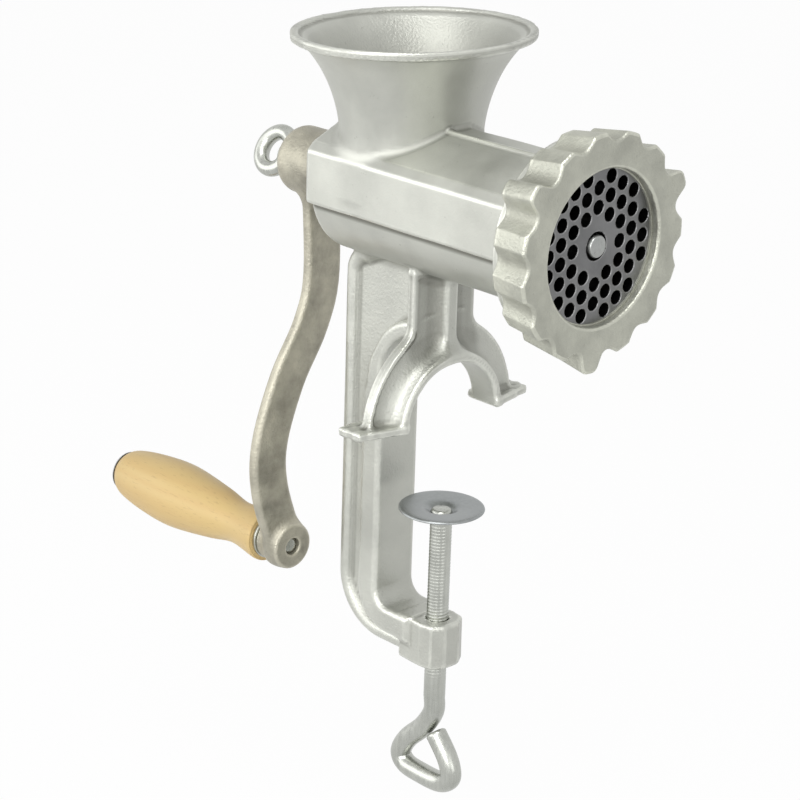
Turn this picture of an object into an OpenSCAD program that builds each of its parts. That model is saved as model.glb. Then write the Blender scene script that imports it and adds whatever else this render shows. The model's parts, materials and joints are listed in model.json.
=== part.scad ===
// Hand-cranked meat grinder that clamps to a table edge.
// Millimetres. +X is the outlet end, +Z is up, and the origin lies on the clamp screw's axis
// in the plane of the table top, where the two saddle feet stand.

/* [Barrel] */
// Height of the worm axis above the table top
axis_h = 78; // [74:1:90]
// Distance from the clamp screw back to the barrel's rear face
barrel_back = 45.5; // [42:0.5:50]
// Radius of the worm bore
bore_r = 22; // [20:0.5:23]
// Wall under the worm bore
barrel_wall = 3.5; // [3:0.25:5]
// How far the flat sides stand out past the round underside
side_step = 2.5; // [1.5:0.25:4]
// Width of the narrow flat along the crown
crown_w = 10; // [6:1:16]
// How far the crown stands above the circle of the round underside
crown_rise = 0.5; // [0.25:0.25:2]
// Height of the flat sides above the worm axis
side_top = 14; // [10:0.5:16]
// Depth of the flat sides below the worm axis, down to the parting line
side_bottom = 5; // [2:0.5:8]
// Bevel between the flat sides and the roof
side_bevel = 3; // [2:0.25:5]
// Chamfer round the barrel's rear end
rear_chamfer = 1.5; // [0.5:0.25:3]
// Wall at the barrel's rear end
rear_wall = 5.5; // [3:0.25:7]

/* [Rear bearing] */
// Radius of the worm's journal
journal_r = 8; // [7:0.25:9]
// Wall of the plastic bush
bush_wall = 2; // [1.5:0.25:3]
// Wall of the bearing boss round the bush
boss_wall = 2.5; // [2:0.25:4]
// Length of the bearing boss behind the barrel
boss_len = 10; // [8:0.5:16]
// Thickness of the fibre thrust washer
thrust_t = 1.5; // [1:0.1:2.5]
// How far the thrust washer stands out past the worm's collar
thrust_rim = 1; // [0.5:0.25:2]
// Radial clearance of a running fit
run_gap = 0.06; // [0.02:0.01:0.1]
// Clearance of parts that are slipped together
slip_gap = 0.05; // [0.02:0.01:0.2]

/* [Hopper] */
// Height of the hopper rim above the worm axis
hopper_h = 57; // [50:1:70]
// Height of the straight hopper neck above the worm axis
neck_h = 25; // [22:0.5:28]
// Mean radius of the hopper neck
neck_r = 24.6; // [24:0.1:25]
// How far the hopper's neck stays in front of the barrel's rear face
neck_inset = 1.8; // [0.5:0.1:6]
// Mean radius of the hopper rim
rim_r = 42.3; // [38:0.5:48]
// Slope of the hopper wall just above the neck
flare_slope = 0.25; // [0.1:0.01:0.35]
// Wall of the hopper
hopper_wall = 3; // [2.5:0.25:4]
// Shape of the hopper along the barrel, as a share of the mean radius
oval_along = 0.9; // [0.86:0.01:0.91]
// Shape of the hopper across the barrel, as a share of the mean radius
oval_across = 1.09; // [1:0.01:1.1]

/* [Outlet] */
// Distance from the clamp screw forward to the ring nut's rear face
ring_back_x = 54; // [50:0.5:60]
// Length of the ring nut
ring_len = 15.5; // [14:0.25:20]
// Thickness of the ring nut's front lip
lip_t = 3.8; // [2.5:0.1:4]
// How far the lip covers the plate's edge
lip_cover = 4.5; // [3:0.25:6]
// Diameter of the perforated plate
plate_d = 62; // [58:0.5:66]
// Thickness of the perforated plate
plate_t = 4.5; // [4:0.1:5.5]
// Wall of the threaded head outside the plate
head_wall = 2.8; // [2.4:0.1:3.4]
// How far the head's shoulder stands behind the ring nut
head_behind = 2.5; // [2:0.25:4]
// How far the plate stands proud of the head
plate_proud = 1.2; // [0.8:0.1:1.6]
// Thickness of the knife
knife_t = 5.6; // [4.5:0.1:5.8]
// Room between the knife's tips and the head
knife_room = 5; // [3:0.25:8]
// Room behind the knife
knife_clear = 0.4; // [0.2:0.1:1]
// Wall of the ring nut in the hollows between its lobes
ring_wall = 1.8; // [1.5:0.1:4]
// How far the lobes rise out of the hollows
lobe_rise = 2.9; // [1.5:0.1:4]
// How far the three grip lugs rise above the lobes
lug_rise = 3.8; // [2:0.1:6]
// Number of lobes, every fifth one a grip lug
lobe_count = 15; // [15:15:30]
// Angle of the first grip lug from the far side
lug_angle = 25; // [0:1:60]
// Half width of a grip lug, as an angle
lug_half = 6; // [4:0.5:8]
// Diameter of the holes in the plate
plate_hole_d = 4.8; // [3:0.1:5]
// Distance between the holes in the plate
plate_pitch = 6.5; // [6:0.1:8]
// Radius of the plate's solid middle
plate_middle_r = 7.8; // [6.6:0.1:11]
// How far the outermost holes may reach under the lip
hole_reach = 0.5; // [0:0.1:1]
// Radius of the stud that carries the knife and runs in the plate
stud_r = 4; // [3.5:0.1:4.5]
// Clearance of the stud in the plate
stud_gap = 0.4; // [0.1:0.05:0.6]
// How far the stud stands out of the plate
stud_proud = 1; // [0:0.1:2]
// Side of the stud's square
stud_square = 9; // [8:0.25:10]
// Radius of the stud's shank in the worm
shank_r = 4.3; // [3.5:0.1:5]
// Length of the stud's shank in the worm
shank_len = 17; // [10:0.5:24]
// Radius of the knife's hub
knife_hub_r = 8.6; // [7.5:0.1:10]
// Width of a blade at its cutting face
blade_w = 8; // [6:0.25:9]
// Width of a blade at its back
spine_w = 3.5; // [2.5:0.25:5]
// Radius of the pin that keeps the plate from turning
key_r = 2; // [1.5:0.1:2.2]
// How far the pin stays back from the head's front face
key_inset = 0.5; // [0.2:0.1:1]

/* [Worm] */
// Clearance of the worm's flight in the bore
flight_gap = 0.6; // [0.4:0.1:1]
// Radius of the worm's core at the hopper end
core_back_r = 9.5; // [9:0.25:11]
// How far the worm's thrust collar stands out of its core
worm_collar = 4; // [2:0.25:6]
// Length of the worm's thrust collar
shoulder_len = 3; // [2:0.25:5]
// Radius of the worm's core at the outlet end
core_front_r = 13; // [11:0.25:15]
// Turns of the worm's flight
flight_turns = 3.25; // [2.5:0.25:4.5]
// Thickness of the flight at its root
flight_root_t = 6; // [4:0.5:8]
// Thickness of the flight at its edge
flight_edge_t = 3; // [2:0.25:4]
// Side of the square that drives the worm
drive_square = 11; // [9:0.25:11.5]
// How far the square stays inside the crank's hub
square_inset = 1; // [0.5:0.25:3]
// Extra depth of the worm's hole past the thumb screw's end
tap_extra = 2; // [1:0.5:5]

/* [Saddle] */
// Inner radius of the saddle arch
arch_r = 21; // [18:0.5:23]
// Outer radius of the saddle's legs
leg_r = 35.3; // [32:0.5:38]
// Half width of the pillar above the arch
pillar_w = 15; // [13:0.5:17]
// Distance from the clamp screw back to the pillar's rear face
pillar_back = 6; // [5:0.25:8]
// Thickness of the pillar's plate
pillar_t = 3.5; // [3:0.25:5.5]
// Thickness of the flange under the arch
arch_t = 5; // [3.5:0.25:6]
// Distance from the clamp screw forward to the front of the arch
arch_front = 4; // [3:0.25:6]
// Distance from the clamp screw back to the rear of the arch
arch_back = 7; // [6:0.25:9]
// Width of the raised border on the pillar and legs
border_w = 2.5; // [1.5:0.25:4]
// Height of the raised border
border_t = 1.4; // [0.8:0.1:2]
// Width of the middle rib
rib_w = 4.8; // [3:0.25:6]
// How far the middle rib stands out of the pillar's plate
rib_t = 3.8; // [2:0.1:6]
// Reach of the feet to each side
foot_reach = 41.5; // [39:0.5:48]
// Thickness of the feet
foot_t = 3.2; // [2.5:0.1:5]
// Distance from the clamp screw back to the rear of the feet
foot_back = 10.5; // [9:0.5:14]
// How much narrower the feet get towards their ends
foot_taper = 4; // [0:0.5:6]

/* [Clamp frame] */
// Distance from the clamp screw back to the frame's rear edge
frame_back = 49.3; // [46:0.1:54]
// Depth of the rounded rear bead
bead_d = 6; // [5:0.25:7]
// Width of the rounded rear bead
bead_w = 9; // [8:0.25:11]
// Flat left along the middle of the bead's back
bead_flat = 0.2; // [0.1:0.1:1]
// Thickness of the frame's web
web_t = 7; // [5:0.5:8]
// Distance from the clamp screw back to the throat face
throat = 23; // [20:0.5:26]
// Width of the throat flange
flange_w = 20; // [16:0.5:24]
// Thickness of the throat flange
flange_t = 10; // [6:0.5:12]
// Height above the table top at which the flange turns forward to the pillar
flange_top = 12.5; // [8:0.5:20]
// Thickness of the flange where it turns forward
upper_t = 6; // [4:0.5:9]
// Depth from the table top to the lower arm
arm_depth = 77; // [65:1:95]
// Height of the lower arm
arm_h = 17.3; // [15:0.25:22]
// Radius of the frame's lower rear corner, along the outside
corner_r = 22.5; // [15:0.1:26]
// Radius of the frame's upper rear corner, along the outside
shoulder_r = 10; // [8:0.5:14]
// How far the frame's top runs into the barrel's underside
frame_sink = 1.5; // [1:0.25:3]
// Radius of the throat's lower corner
throat_r = 6; // [3:0.5:10]
// Length of the screw boss behind the screw
boss_rear = 11.5; // [9:0.5:14]
// Length of the screw boss in front of the screw
boss_front = 8; // [7:0.5:12]
// Width of the screw boss
screw_boss_w = 18; // [14:0.5:24]
// Radius of the screw boss's upright corners
boss_corner = 6; // [2:0.25:7]

/* [Clamp screw] */
// Radius of the clamp screw
screw_r = 4; // [3.5:0.25:5]
// Depth from the table top to the pad's top face, as photographed
pad_drop = 33.4; // [20:0.1:44]
// Radius of the pad
pad_r = 15.5; // [12:0.5:18]
// Thickness of the pad's plate
pad_t = 1.8; // [1.4:0.1:2.5]
// Thickness of the pad at its edge
pad_edge = 1.3; // [1:0.1:1.8]
// Radius of the dimple's floor
dimple_r = 5; // [4.5:0.1:6.5]
// Width of the slope round the dimple
dimple_slope = 1.5; // [0.5:0.1:3]
// Depth of the dimple that holds the riveted screw end
dimple_d = 2.2; // [1.8:0.1:3]
// How far the screw's neck in the pad is turned down
neck_step = 1; // [0.5:0.1:1.5]
// Height of the screw's riveted end
rivet_h = 1.2; // [0.8:0.1:1.8]
// Straight rod below the boss, before the loop's bend
rod_below = 17.5; // [8:0.5:25]
// Run of rod on each side of the loop's first bend
bend_run = 3; // [2:0.5:5]
// How much the rod thins where it is bent
bend_thin = 0.08; // [0.05:0.01:0.2]
// Half width of the loop, along the middle of its rod
loop_w = 13.2; // [12:0.1:18]
// How far the loop's middle lies behind the screw's axis
loop_lean = 3.2; // [0:0.1:5]
// Height of the loop, along the middle of its rod
loop_h = 31; // [26:0.5:38]
// Angle of the loop about the screw's axis
loop_angle = 0; // [-90:1:90]

/* [Crank] */
// Radius of the crank's hub
hub_r = 12.4; // [12:0.1:15]
// Length of the crank's hub
hub_len = 24; // [20:0.5:30]
// Gap between the bearing boss and the hub
hub_gap = 1; // [0.4:0.1:2]
// Radius of the hub's rounded rear end
hub_round = 4.5; // [1:0.25:6]
// Chamfer of the hub's front edge
hub_chamfer = 1; // [0.5:0.25:2]
// Width of the crank arm
arm_w = 16; // [12:0.5:17]
// Thickness of the crank arm
arm_t = 4.5; // [4:0.25:7]
// How far the handle lies below the worm axis
crank_drop = 144.5; // [120:0.5:170]
// How far the handle lies to the near side
crank_side = 14; // [0:0.1:20]
// How far the arm's lower curve swings out past the eye
arm_bow = 9; // [4:0.5:16]
// How far the arm's upper curve swings to the far side
arm_bulge = 2; // [0:0.25:5]
// Radius of the eye that holds the handle
eye_r = 8.75; // [8:0.25:11]
// Length of the eye in front of the arm's middle
eye_front = 5; // [4.5:0.25:7]
// Length of the eye's collar behind the arm's middle
eye_back = 7.5; // [6:0.25:10]
// Radius of the eye's collar
collar_r = 7.75; // [7:0.25:8.5]
// Radius of the pin's neck in the eye
pin_neck_r = 3.2; // [2.4:0.1:3.5]
// How far the pin's neck stays inside the eye's face
neck_inset_d = 1.4; // [0.3:0.1:2]
// Thickness of the washer under the thumb screw
crank_washer_t = 1.5; // [1:0.1:2.5]
// Radius of the washer under the thumb screw
washer_r = 7.6; // [6.5:0.1:9]
// Outer radius of the thumb screw's ring
thumb_ring_r = 10.1; // [9:0.1:13]
// Radius of the thumb screw's wire
thumb_wire_r = 2.9; // [2:0.1:3]
// Gap between the thumb screw's ring and its washer
thumb_gap = 0.2; // [0.1:0.1:1]
// Radius of the thumb screw's collar
thumb_collar_r = 6; // [4.5:0.1:6.5]
// Radius of the thumb screw's thread
thumb_screw_r = 3.5; // [3:0.25:4]
// Length of the thumb screw's thread
thumb_len = 18; // [12:0.5:22]
// Tilt of the thumb screw's ring about the worm axis
thumb_tilt = 30; // [-90:1:90]

/* [Handle] */
// Length of the wooden handle
handle_len = 85.5; // [70:0.5:110]
// Radius of the handle at its swell
swell_r = 12.2; // [11:0.1:15]
// Radius of the handle at its waist
waist_r = 8; // [7.5:0.1:10]
// Radius of the handle at the crank's eye
handle_eye_r = 9.6; // [9:0.1:11]
// How much the handle's edge at the eye is eased
edge_ease = 0.8; // [0.3:0.1:1.5]
// How much thinner the handle is behind its swell
swell_fall = 0.9; // [0.5:0.1:2]
// How far the handle's shoulder stands out past the end cap
shoulder_step = 1.9; // [0.5:0.1:2.5]
// How far the handle's end stays inside the end cap
end_inset = 0.4; // [0.2:0.1:1]
// Radius of the pin through the handle
pin_r = 4; // [3.6:0.1:4.5]
// Thickness of the pin's head on the end cap
pin_head_t = 1; // [0.6:0.1:2]
// How far the pin's head stands out past the pin
pin_head_rim = 1.5; // [1:0.1:3]
// Thickness of the handle's washer and of its end cap
handle_washer_t = 1.4; // [1:0.1:2.5]
// How far the handle's washer stands out past the eye's collar
washer_rim = 0.6; // [0.2:0.1:1.5]
// Radius of the end cap
cap_r = 8; // [7:0.1:10]
// End play of the handle on its pin
end_play = 0.25; // [0.15:0.05:0.6]

/* [Hidden] */
$fn = 72;
tin = "#c9cbc6";
iron = "#a9a59a";
zinc = "#b9bec2";
steel = "#6a6c6e";
beech = "#e0bf84";

// Overshoot of a cutting tool past the face that it cuts
over = 1;

// Barrel, measured from the worm axis
under_r = bore_r + barrel_wall;
half_w = under_r + side_step;
crown_z = under_r + crown_rise;
barrel_x = -barrel_back;
bush_r = journal_r + run_gap + bush_wall;
boss_r = bush_r + slip_gap + boss_wall;
boss_x = barrel_x - boss_len;
worm_back_x = barrel_x + rear_wall;

// Outlet, from the ring nut's front face inwards
ring_front_x = ring_back_x + ring_len;
plate_front_x = ring_front_x - lip_t;
plate_back_x = plate_front_x - plate_t;
plate_r = plate_d / 2;
chamber_r = plate_r + slip_gap;
head_r = chamber_r + head_wall;
outlet_r = plate_r - lip_cover;
knife_r = chamber_r - knife_room;
ring_valley_r = head_r + run_gap + ring_wall;
head_front_x = plate_front_x - plate_proud;
head_back_x = ring_back_x - head_behind;
knife_front_x = plate_back_x - slip_gap;
knife_back_x = knife_front_x - knife_t;
chamber_x = knife_back_x - knife_clear;
stud_front_x = plate_front_x + stud_proud;

// Hopper, with its axis set so that the neck stays inside the barrel's rear face
hopper_x = barrel_x + neck_r * oval_along + neck_inset;
neck_z = axis_h + neck_h;
rim_z = axis_h + hopper_h;
flare_h = hopper_h - neck_h;
flare_cubic = (rim_r - neck_r - flare_slope * flare_h) / pow(flare_h, 3);
flare_steps = 10;

// Worm
flight_r = bore_r - flight_gap;
collar_back_r = core_back_r + worm_collar;
shoulder_x = worm_back_x + thrust_t + slip_gap;
worm_front_x = knife_back_x - slip_gap;
worm_len = worm_front_x - shoulder_x;
drive_x = boss_x - slip_gap;
steps_per_turn = 20;
// The flight's pitch falls evenly by this share from its first turn to its last
pitch_fall = 0.25;

// Clamp frame
frame_top = axis_h - under_r + frame_sink;
arm_z = -arm_depth;
arm_bottom = arm_z - arm_h;
bead_round = (bead_d - bead_flat) / 2;
web_x = -frame_back + bead_d / 2;
pillar_x = -pillar_back;
pillar_front = pillar_x + pillar_t;
pillar_z = arch_r + arch_t / 2;
pillar_h = axis_h - bore_r - over - pillar_z;

// Clamp screw
pad_z = -pad_drop;
floor_z = pad_z - dimple_d;
rivet_r = screw_r - neck_step;
bend_z = arm_bottom - rod_below;
loop_rod_r = screw_r - bend_thin;

// Crank
hub_front_x = boss_x - hub_gap;
hub_back_x = hub_front_x - hub_len;
crank_x = hub_front_x - hub_len / 2;
eye_y = -crank_side;
eye_z = axis_h - crank_drop;
thumb_seat_x = hub_back_x - crank_washer_t;
thumb_ring_x = thumb_seat_x - thumb_ring_r - thumb_gap;
handle_x = crank_x - eye_back - handle_washer_t - end_play;
handle_end_x = handle_x - handle_len;
cap_x = handle_end_x - end_play;

// A rod along X from x0 to x1, on the worm axis unless y and z move it
module x_rod(r, x0, x1, y = 0, z = axis_h) {
  translate([x0, y, z]) rotate([0, 90, 0]) cylinder(r = r, h = x1 - x0);
}

// An upright rod on the clamp screw's axis
module z_rod(r, z0, z1) {
  translate([0, 0, z0]) cylinder(r = r, h = z1 - z0);
}

// A drawing of Y against Z carried along X
module along_x(x0, x1) {
  translate([x0, 0, 0]) rotate([90, 0, 90]) linear_extrude(x1 - x0) children();
}

// A drawing of X against Z carried across Y, centred
module across_y(w) {
  rotate([90, 0, 0]) linear_extrude(w, center = true) children();
}

// A round outline of X against radius, turned about an axis along X
module x_lathe(y = 0, z = axis_h) {
  translate([0, y, z]) rotate([0, 90, 0]) rotate([0, 0, 90])
    rotate_extrude() rotate(90) mirror([0, 1]) children();
}

// A rectangle with round corners
module rounded(x0, x1, y0, y1, r) {
  translate([x0 + r, y0]) square([x1 - x0 - 2 * r, y1 - y0]);
  translate([x0, y0 + r]) square([x1 - x0, y1 - y0 - 2 * r]);
  for (x = [x0 + r, x1 - r], y = [y0 + r, y1 - r])
    translate([x, y]) circle(r = r);
}

// Points of a quarter or other arc
function arc(cx, cy, r, a0, a1, n = 8) = [for (i = [0 : n])
  let (a = a0 + (a1 - a0) * i / n) [cx + r * cos(a), cy + r * sin(a)]];

// A smooth curve through the points p, with n steps between neighbours
function curve_at(a, b, c, d, t) = 0.5 * (2 * b + (c - a) * t + (2 * a - 5 * b + 4 * c - d) * t * t
  + (3 * b - a - 3 * c + d) * t * t * t);
function curve(p, n) = let (m = len(p) - 1) concat(
  [for (i = [0 : m - 1], k = [0 : n - 1])
    curve_at(p[max(i - 1, 0)], p[i], p[i + 1], p[min(i + 2, m)], k / n)],
  [p[m]]);

// Triangles that join rings of n points each into one closed skin
function skin_faces(rings, n) = concat(
  [[for (k = [0 : n - 1]) k]],
  [for (i = [0 : rings - 2], k = [0 : n - 1]) let (a = i * n + k, b = i * n + (k + 1) % n)
    each [[a, a + n, b + n], [a, b + n, b]]],
  [[for (k = [n - 1 : -1 : 0]) (rings - 1) * n + k]]);

// Direction of a flat path at its point i
function heading(p, i) = let (d = p[min(i + 1, len(p) - 1)] - p[max(i - 1, 0)]) d / norm(d);

// A bar of oval section swept along a flat path of X against Y: half width w, half thickness t along Z
module swept_bar(path, w, t, n, power = 2) {
  function side(a) = let (
    c = cos(a), s = sin(a), k = pow(pow(abs(c), power) + pow(abs(s), power), -1 / power))
      [w * k * c, t * k * s];
  points = [for (i = [0 : len(path) - 1], k = [0 : n - 1])
    let (h = heading(path, i), q = side(360 * (k + 0.5) / n))
      [path[i].x - q.x * h.y, path[i].y + q.x * h.x, q.y]];
  polyhedron(points, skin_faces(len(path), n));
}

// Mean radius of the hopper's outer wall at a height above its neck
function hopper_radius(h) = neck_r + flare_slope * h + flare_cubic * pow(h, 3);

// The hopper's form, grown inwards by the wall where inset is the wall, from a low end to a high end
module hopper_form(inset, low, high) {
  wall_z = [for (i = [0 : flare_steps]) flare_h * i / flare_steps];
  translate([hopper_x, 0, 0]) scale([oval_along, oval_across, 1]) rotate_extrude($fn = 96)
    polygon(concat(
      [[0, low], [neck_r - inset, low]],
      [for (h = wall_z) [hopper_radius(h) - inset, neck_z + h]],
      [[rim_r - inset, high], [0, high]]));
}

// Outline from the barrel's rear to its head, with the rear corners cut off
module barrel_outline(low, high) {
  polygon([
    [barrel_x, low + rear_chamfer], [barrel_x + rear_chamfer, low], [head_back_x + over, low],
    [head_back_x + over, high], [barrel_x + rear_chamfer, high], [barrel_x, high - rear_chamfer]
  ]);
}

// Roofed top, flat sides down to the parting line and a round underside
module barrel_block() {
  intersection() {
    union() {
      along_x(barrel_x, head_back_x + over) translate([0, axis_h]) polygon([
        [-half_w, -side_bottom], [half_w, -side_bottom],
        [half_w, side_top], [half_w - side_bevel, side_top + side_bevel],
        [crown_w / 2, crown_z], [-crown_w / 2, crown_z],
        [side_bevel - half_w, side_top + side_bevel], [-half_w, side_top]
      ]);
      x_rod(under_r, barrel_x, head_back_x + over);
    }
    across_y(2 * half_w + over) barrel_outline(axis_h - under_r, axis_h + crown_z);
    translate([0, 0, axis_h - under_r]) linear_extrude(under_r + crown_z) barrel_outline(-half_w, half_w);
  }
}

// Half ring of the saddle between two radii, standing on the table plane
module saddle_ring(r0, r1) {
  difference() {
    circle(r = r1);
    circle(r = r0);
    translate([-2 * r1, -2 * r1]) square([4 * r1, 2 * r1]);
  }
}

module saddle_outline(inset) {
  saddle_ring(arch_r, leg_r - inset);
  translate([inset - pillar_w, pillar_z]) square([2 * (pillar_w - inset), pillar_h]);
}

module saddle() {
  along_x(pillar_x, pillar_front) saddle_outline(0);
  along_x(pillar_front - over, pillar_front + border_t) difference() {
    saddle_outline(0);
    saddle_outline(border_w);
  }
  along_x(-arch_back, arch_front) saddle_ring(arch_r, arch_r + arch_t);
  along_x(pillar_front - over, pillar_front + rib_t)
    translate([-rib_w / 2, pillar_z]) square([rib_w, pillar_h]);
  for (side = [-1, 1])
    linear_extrude(foot_t) polygon([
      [-foot_back, side * arch_r], [arch_front + border_t / 2, side * arch_r],
      [arch_front - foot_taper, side * foot_reach], [-foot_back, side * foot_reach]
    ]);
}

// Section of the frame's rear bead: depth along X, width along Y
module bead_section() {
  rounded(-bead_d / 2, bead_d / 2, -bead_w / 2, bead_w / 2, bead_round);
}

// The bead runs forward under the barrel, down the back, round the corner and forward to the screw boss
module frame_bead() {
  top_r = shoulder_r - bead_d / 2;
  low_r = corner_r - bead_d / 2;
  top_z = frame_top - shoulder_r;
  low_z = arm_bottom + corner_r;
  translate([web_x, 0, low_z]) linear_extrude(top_z - low_z) bead_section();
  translate([web_x + top_r, 0, top_z]) rotate([90, 0, 0]) rotate(90) rotate_extrude(angle = 90)
    translate([top_r, 0]) bead_section();
  translate([web_x + top_r, 0, frame_top - bead_d / 2]) rotate([0, 90, 0])
    linear_extrude(shoulder_r) bead_section();
  translate([web_x + low_r, 0, low_z]) rotate([90, 0, 0]) rotate(180) rotate_extrude(angle = 90)
    translate([low_r, 0]) bead_section();
  translate([web_x + low_r, 0, arm_bottom + bead_d / 2]) rotate([0, 90, 0])
    linear_extrude(frame_back - bead_d / 2 - low_r - boss_rear + over) bead_section();
}

// The web fills the C between the bead and the flange, and ties the saddle's pillar to the back
module frame_web() {
  top_r = shoulder_r - bead_d / 2;
  low_r = corner_r - bead_d / 2;
  bay_r = throat - pillar_back;
  across_y(web_t) polygon(concat(
    [[pillar_x + over, frame_top]],
    arc(web_x + top_r, frame_top - shoulder_r, top_r, 90, 180),
    arc(web_x + low_r, arm_bottom + corner_r, low_r, 180, 270),
    [[-boss_rear + over, arm_bottom + bead_d / 2], [-boss_rear + over, arm_z - over]],
    [[-throat - over, arm_z - over]],
    arc(pillar_x + over, flange_top, bay_r + 2 * over, 180, 90)));
}

// The flange lines the throat, turns forward along the lower arm and, above, forward into the pillar
module frame_flange() {
  bay_r = throat - pillar_back;
  across_y(flange_w) polygon(concat(
    arc(pillar_x, flange_top, bay_r + upper_t, 90, 180),
    [[-throat - flange_t, flange_top - flange_t], [-throat - flange_t, arm_z + throat_r]],
    arc(throat_r - throat, arm_z + throat_r, throat_r + flange_t, 180, 270),
    [[-boss_rear + over, arm_z - flange_t], [-boss_rear + over, arm_z]],
    arc(throat_r - throat, arm_z + throat_r, throat_r, 270, 180),
    arc(pillar_x, flange_top, bay_r, 180, 90)));
}

module screw_boss() {
  translate([0, 0, arm_bottom]) linear_extrude(arm_h)
    rounded(-boss_rear, boss_front, -screw_boss_w / 2, screw_boss_w / 2, boss_corner);
}

// One casting: hopper, barrel, threaded head, rear bearing boss, saddle and clamp frame
module body_casting() {
  color(tin) difference() {
    union() {
      barrel_block();
      hopper_form(0, axis_h, rim_z);
      x_rod(boss_r, boss_x, barrel_x + over);
      x_rod(head_r, head_back_x, head_front_x);
      saddle();
      frame_bead();
      frame_web();
      frame_flange();
      screw_boss();
    }
    x_rod(bore_r, worm_back_x, chamber_x + over);
    x_rod(chamber_r, chamber_x, head_front_x + over);
    x_rod(bush_r + slip_gap, boss_x - over, worm_back_x + over);
    hopper_form(hopper_wall, axis_h + side_top / 2, rim_z + over);
    x_rod(key_r + slip_gap, chamber_x, head_front_x + over, z = axis_h + chamber_r);
    z_rod(screw_r + run_gap, arm_bottom - 2 * over, arm_z + over);
  }
}

module rear_bush() {
  color("ivory") difference() {
    x_rod(bush_r, boss_x, worm_back_x);
    x_rod(journal_r + run_gap, boss_x - over, worm_back_x + over);
  }
}

module thrust_washer() {
  color("firebrick") difference() {
    x_rod(collar_back_r + thrust_rim, worm_back_x, worm_back_x + thrust_t);
    x_rod(journal_r + run_gap, worm_back_x - over, worm_back_x + thrust_t + over);
  }
}

// One ring of the flight: a tapered blade that stands on the core at angle a, at place x along the worm
function flight_ring(a, x, root, edge, r0) = [
  for (q = [[r0, -root / 2], [r0, root / 2], [flight_r, edge / 2], [flight_r, -edge / 2]])
    [x + q.y, q.x * cos(a), axis_h + q.x * sin(a)]];

// The flight's pitch shortens towards the outlet, so that the meat is pressed together
module worm_flight() {
  count = round(flight_turns * steps_per_turn);
  x0 = shoulder_x + flight_root_t / 2;
  x1 = worm_front_x - flight_root_t / 2;
  points = [for (i = [0 : count]) let (t = i / count)
    each flight_ring(360 * flight_turns * t, x0 + (x1 - x0) * ((1 + pitch_fall) * t - pitch_fall * t * t),
      flight_root_t, flight_edge_t, core_back_r / 2)];
  polyhedron(points, skin_faces(count + 1, 4));
}

module auger() {
  color(tin) difference() {
    union() {
      x_lathe() polygon([
        [drive_x, 0], [drive_x, journal_r], [shoulder_x, journal_r], [shoulder_x, collar_back_r],
        [shoulder_x + shoulder_len, collar_back_r], [shoulder_x + 2 * shoulder_len, core_back_r],
        [worm_front_x, core_front_r], [worm_front_x, 0]
      ]);
      translate([hub_back_x + square_inset, -drive_square / 2, axis_h - drive_square / 2])
        cube([drive_x + over - hub_back_x - square_inset, drive_square, drive_square]);
      worm_flight();
    }
    x_rod(thumb_screw_r + slip_gap, hub_back_x - over, hub_back_x + thumb_len + tap_extra);
    x_rod(shank_r + slip_gap, worm_front_x - shank_len - over, worm_front_x + over);
  }
}

// A round shank in the worm, a square for the knife and a round end that runs in the plate
module knife_stud() {
  color(zinc) union() {
    x_rod(shank_r, worm_front_x - shank_len, knife_back_x + over);
    translate([knife_back_x, -stud_square / 2, axis_h - stud_square / 2])
      cube([knife_t, stud_square, stud_square]);
    x_rod(stud_r, knife_front_x - over, stud_front_x);
  }
}

// Four blades, each flat and sharp on the plate's side and narrower behind
module knife() {
  hole = stud_square + 2 * slip_gap;
  color(zinc) translate([knife_back_x, 0, axis_h]) difference() {
    union() {
      rotate([0, 90, 0]) cylinder(r = knife_hub_r, h = knife_t);
      for (turn = [0 : 90 : 270])
        rotate([turn, 0, 0]) linear_extrude(knife_r)
          polygon([
            [0, 0], [0, -spine_w],
            [knife_t, -(blade_w + spine_w) / 2], [knife_t, (blade_w - spine_w) / 2]
          ]);
    }
    translate([-over, -hole / 2, -hole / 2]) cube([knife_t + 2 * over, hole, hole]);
  }
}

// Holes on a triangular grid, with the middle left solid round the stud
module perforated_plate() {
  span = ceil(plate_r / plate_pitch) + 1;
  row = plate_pitch * sqrt(3) / 2;
  centres = [for (i = [-span : span], k = [-span : span])
    let (p = [i * row, (k + i / 2) * plate_pitch], d = norm(p))
      if (d > plate_middle_r && d < outlet_r - plate_hole_d / 2 + hole_reach) p];
  color(steel) difference() {
    x_rod(plate_r, plate_back_x, plate_front_x);
    x_rod(stud_r + stud_gap, plate_back_x - over, plate_front_x + over);
    for (p = centres)
      x_rod(plate_hole_d / 2, plate_back_x - over, plate_front_x + over, p.x, axis_h + p.y, $fn = 24);
    x_rod(key_r + 2 * slip_gap, plate_back_x - over, plate_front_x + over, z = axis_h + chamber_r);
  }
}

module plate_key() {
  color(zinc) x_rod(key_r, chamber_x, head_front_x - key_inset, z = axis_h + chamber_r);
}

// Radius of the ring nut's outline: even lobes, with a broad lug on every fifth
function ring_radius(a) = let (
  per_lug = 360 / (lobe_count / 5),
  off = abs(((a - lug_angle) % per_lug + 1.5 * per_lug) % per_lug - per_lug / 2))
  ring_valley_r + lobe_rise / 2 * (1 + cos(lobe_count * (a - lug_angle)))
    + lug_rise * exp(-pow(off / lug_half, 4));

module ring_nut() {
  points = 12 * lobe_count;
  color("#b4b2a6") difference() {
    along_x(ring_back_x, ring_front_x) translate([0, axis_h])
      polygon([for (i = [0 : points - 1]) let (a = 360 * i / points) ring_radius(a) * [cos(a), sin(a)]]);
    x_rod(head_r + run_gap, ring_back_x - over, plate_front_x);
    x_rod(outlet_r, plate_front_x - over, ring_front_x + over);
  }
}

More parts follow.
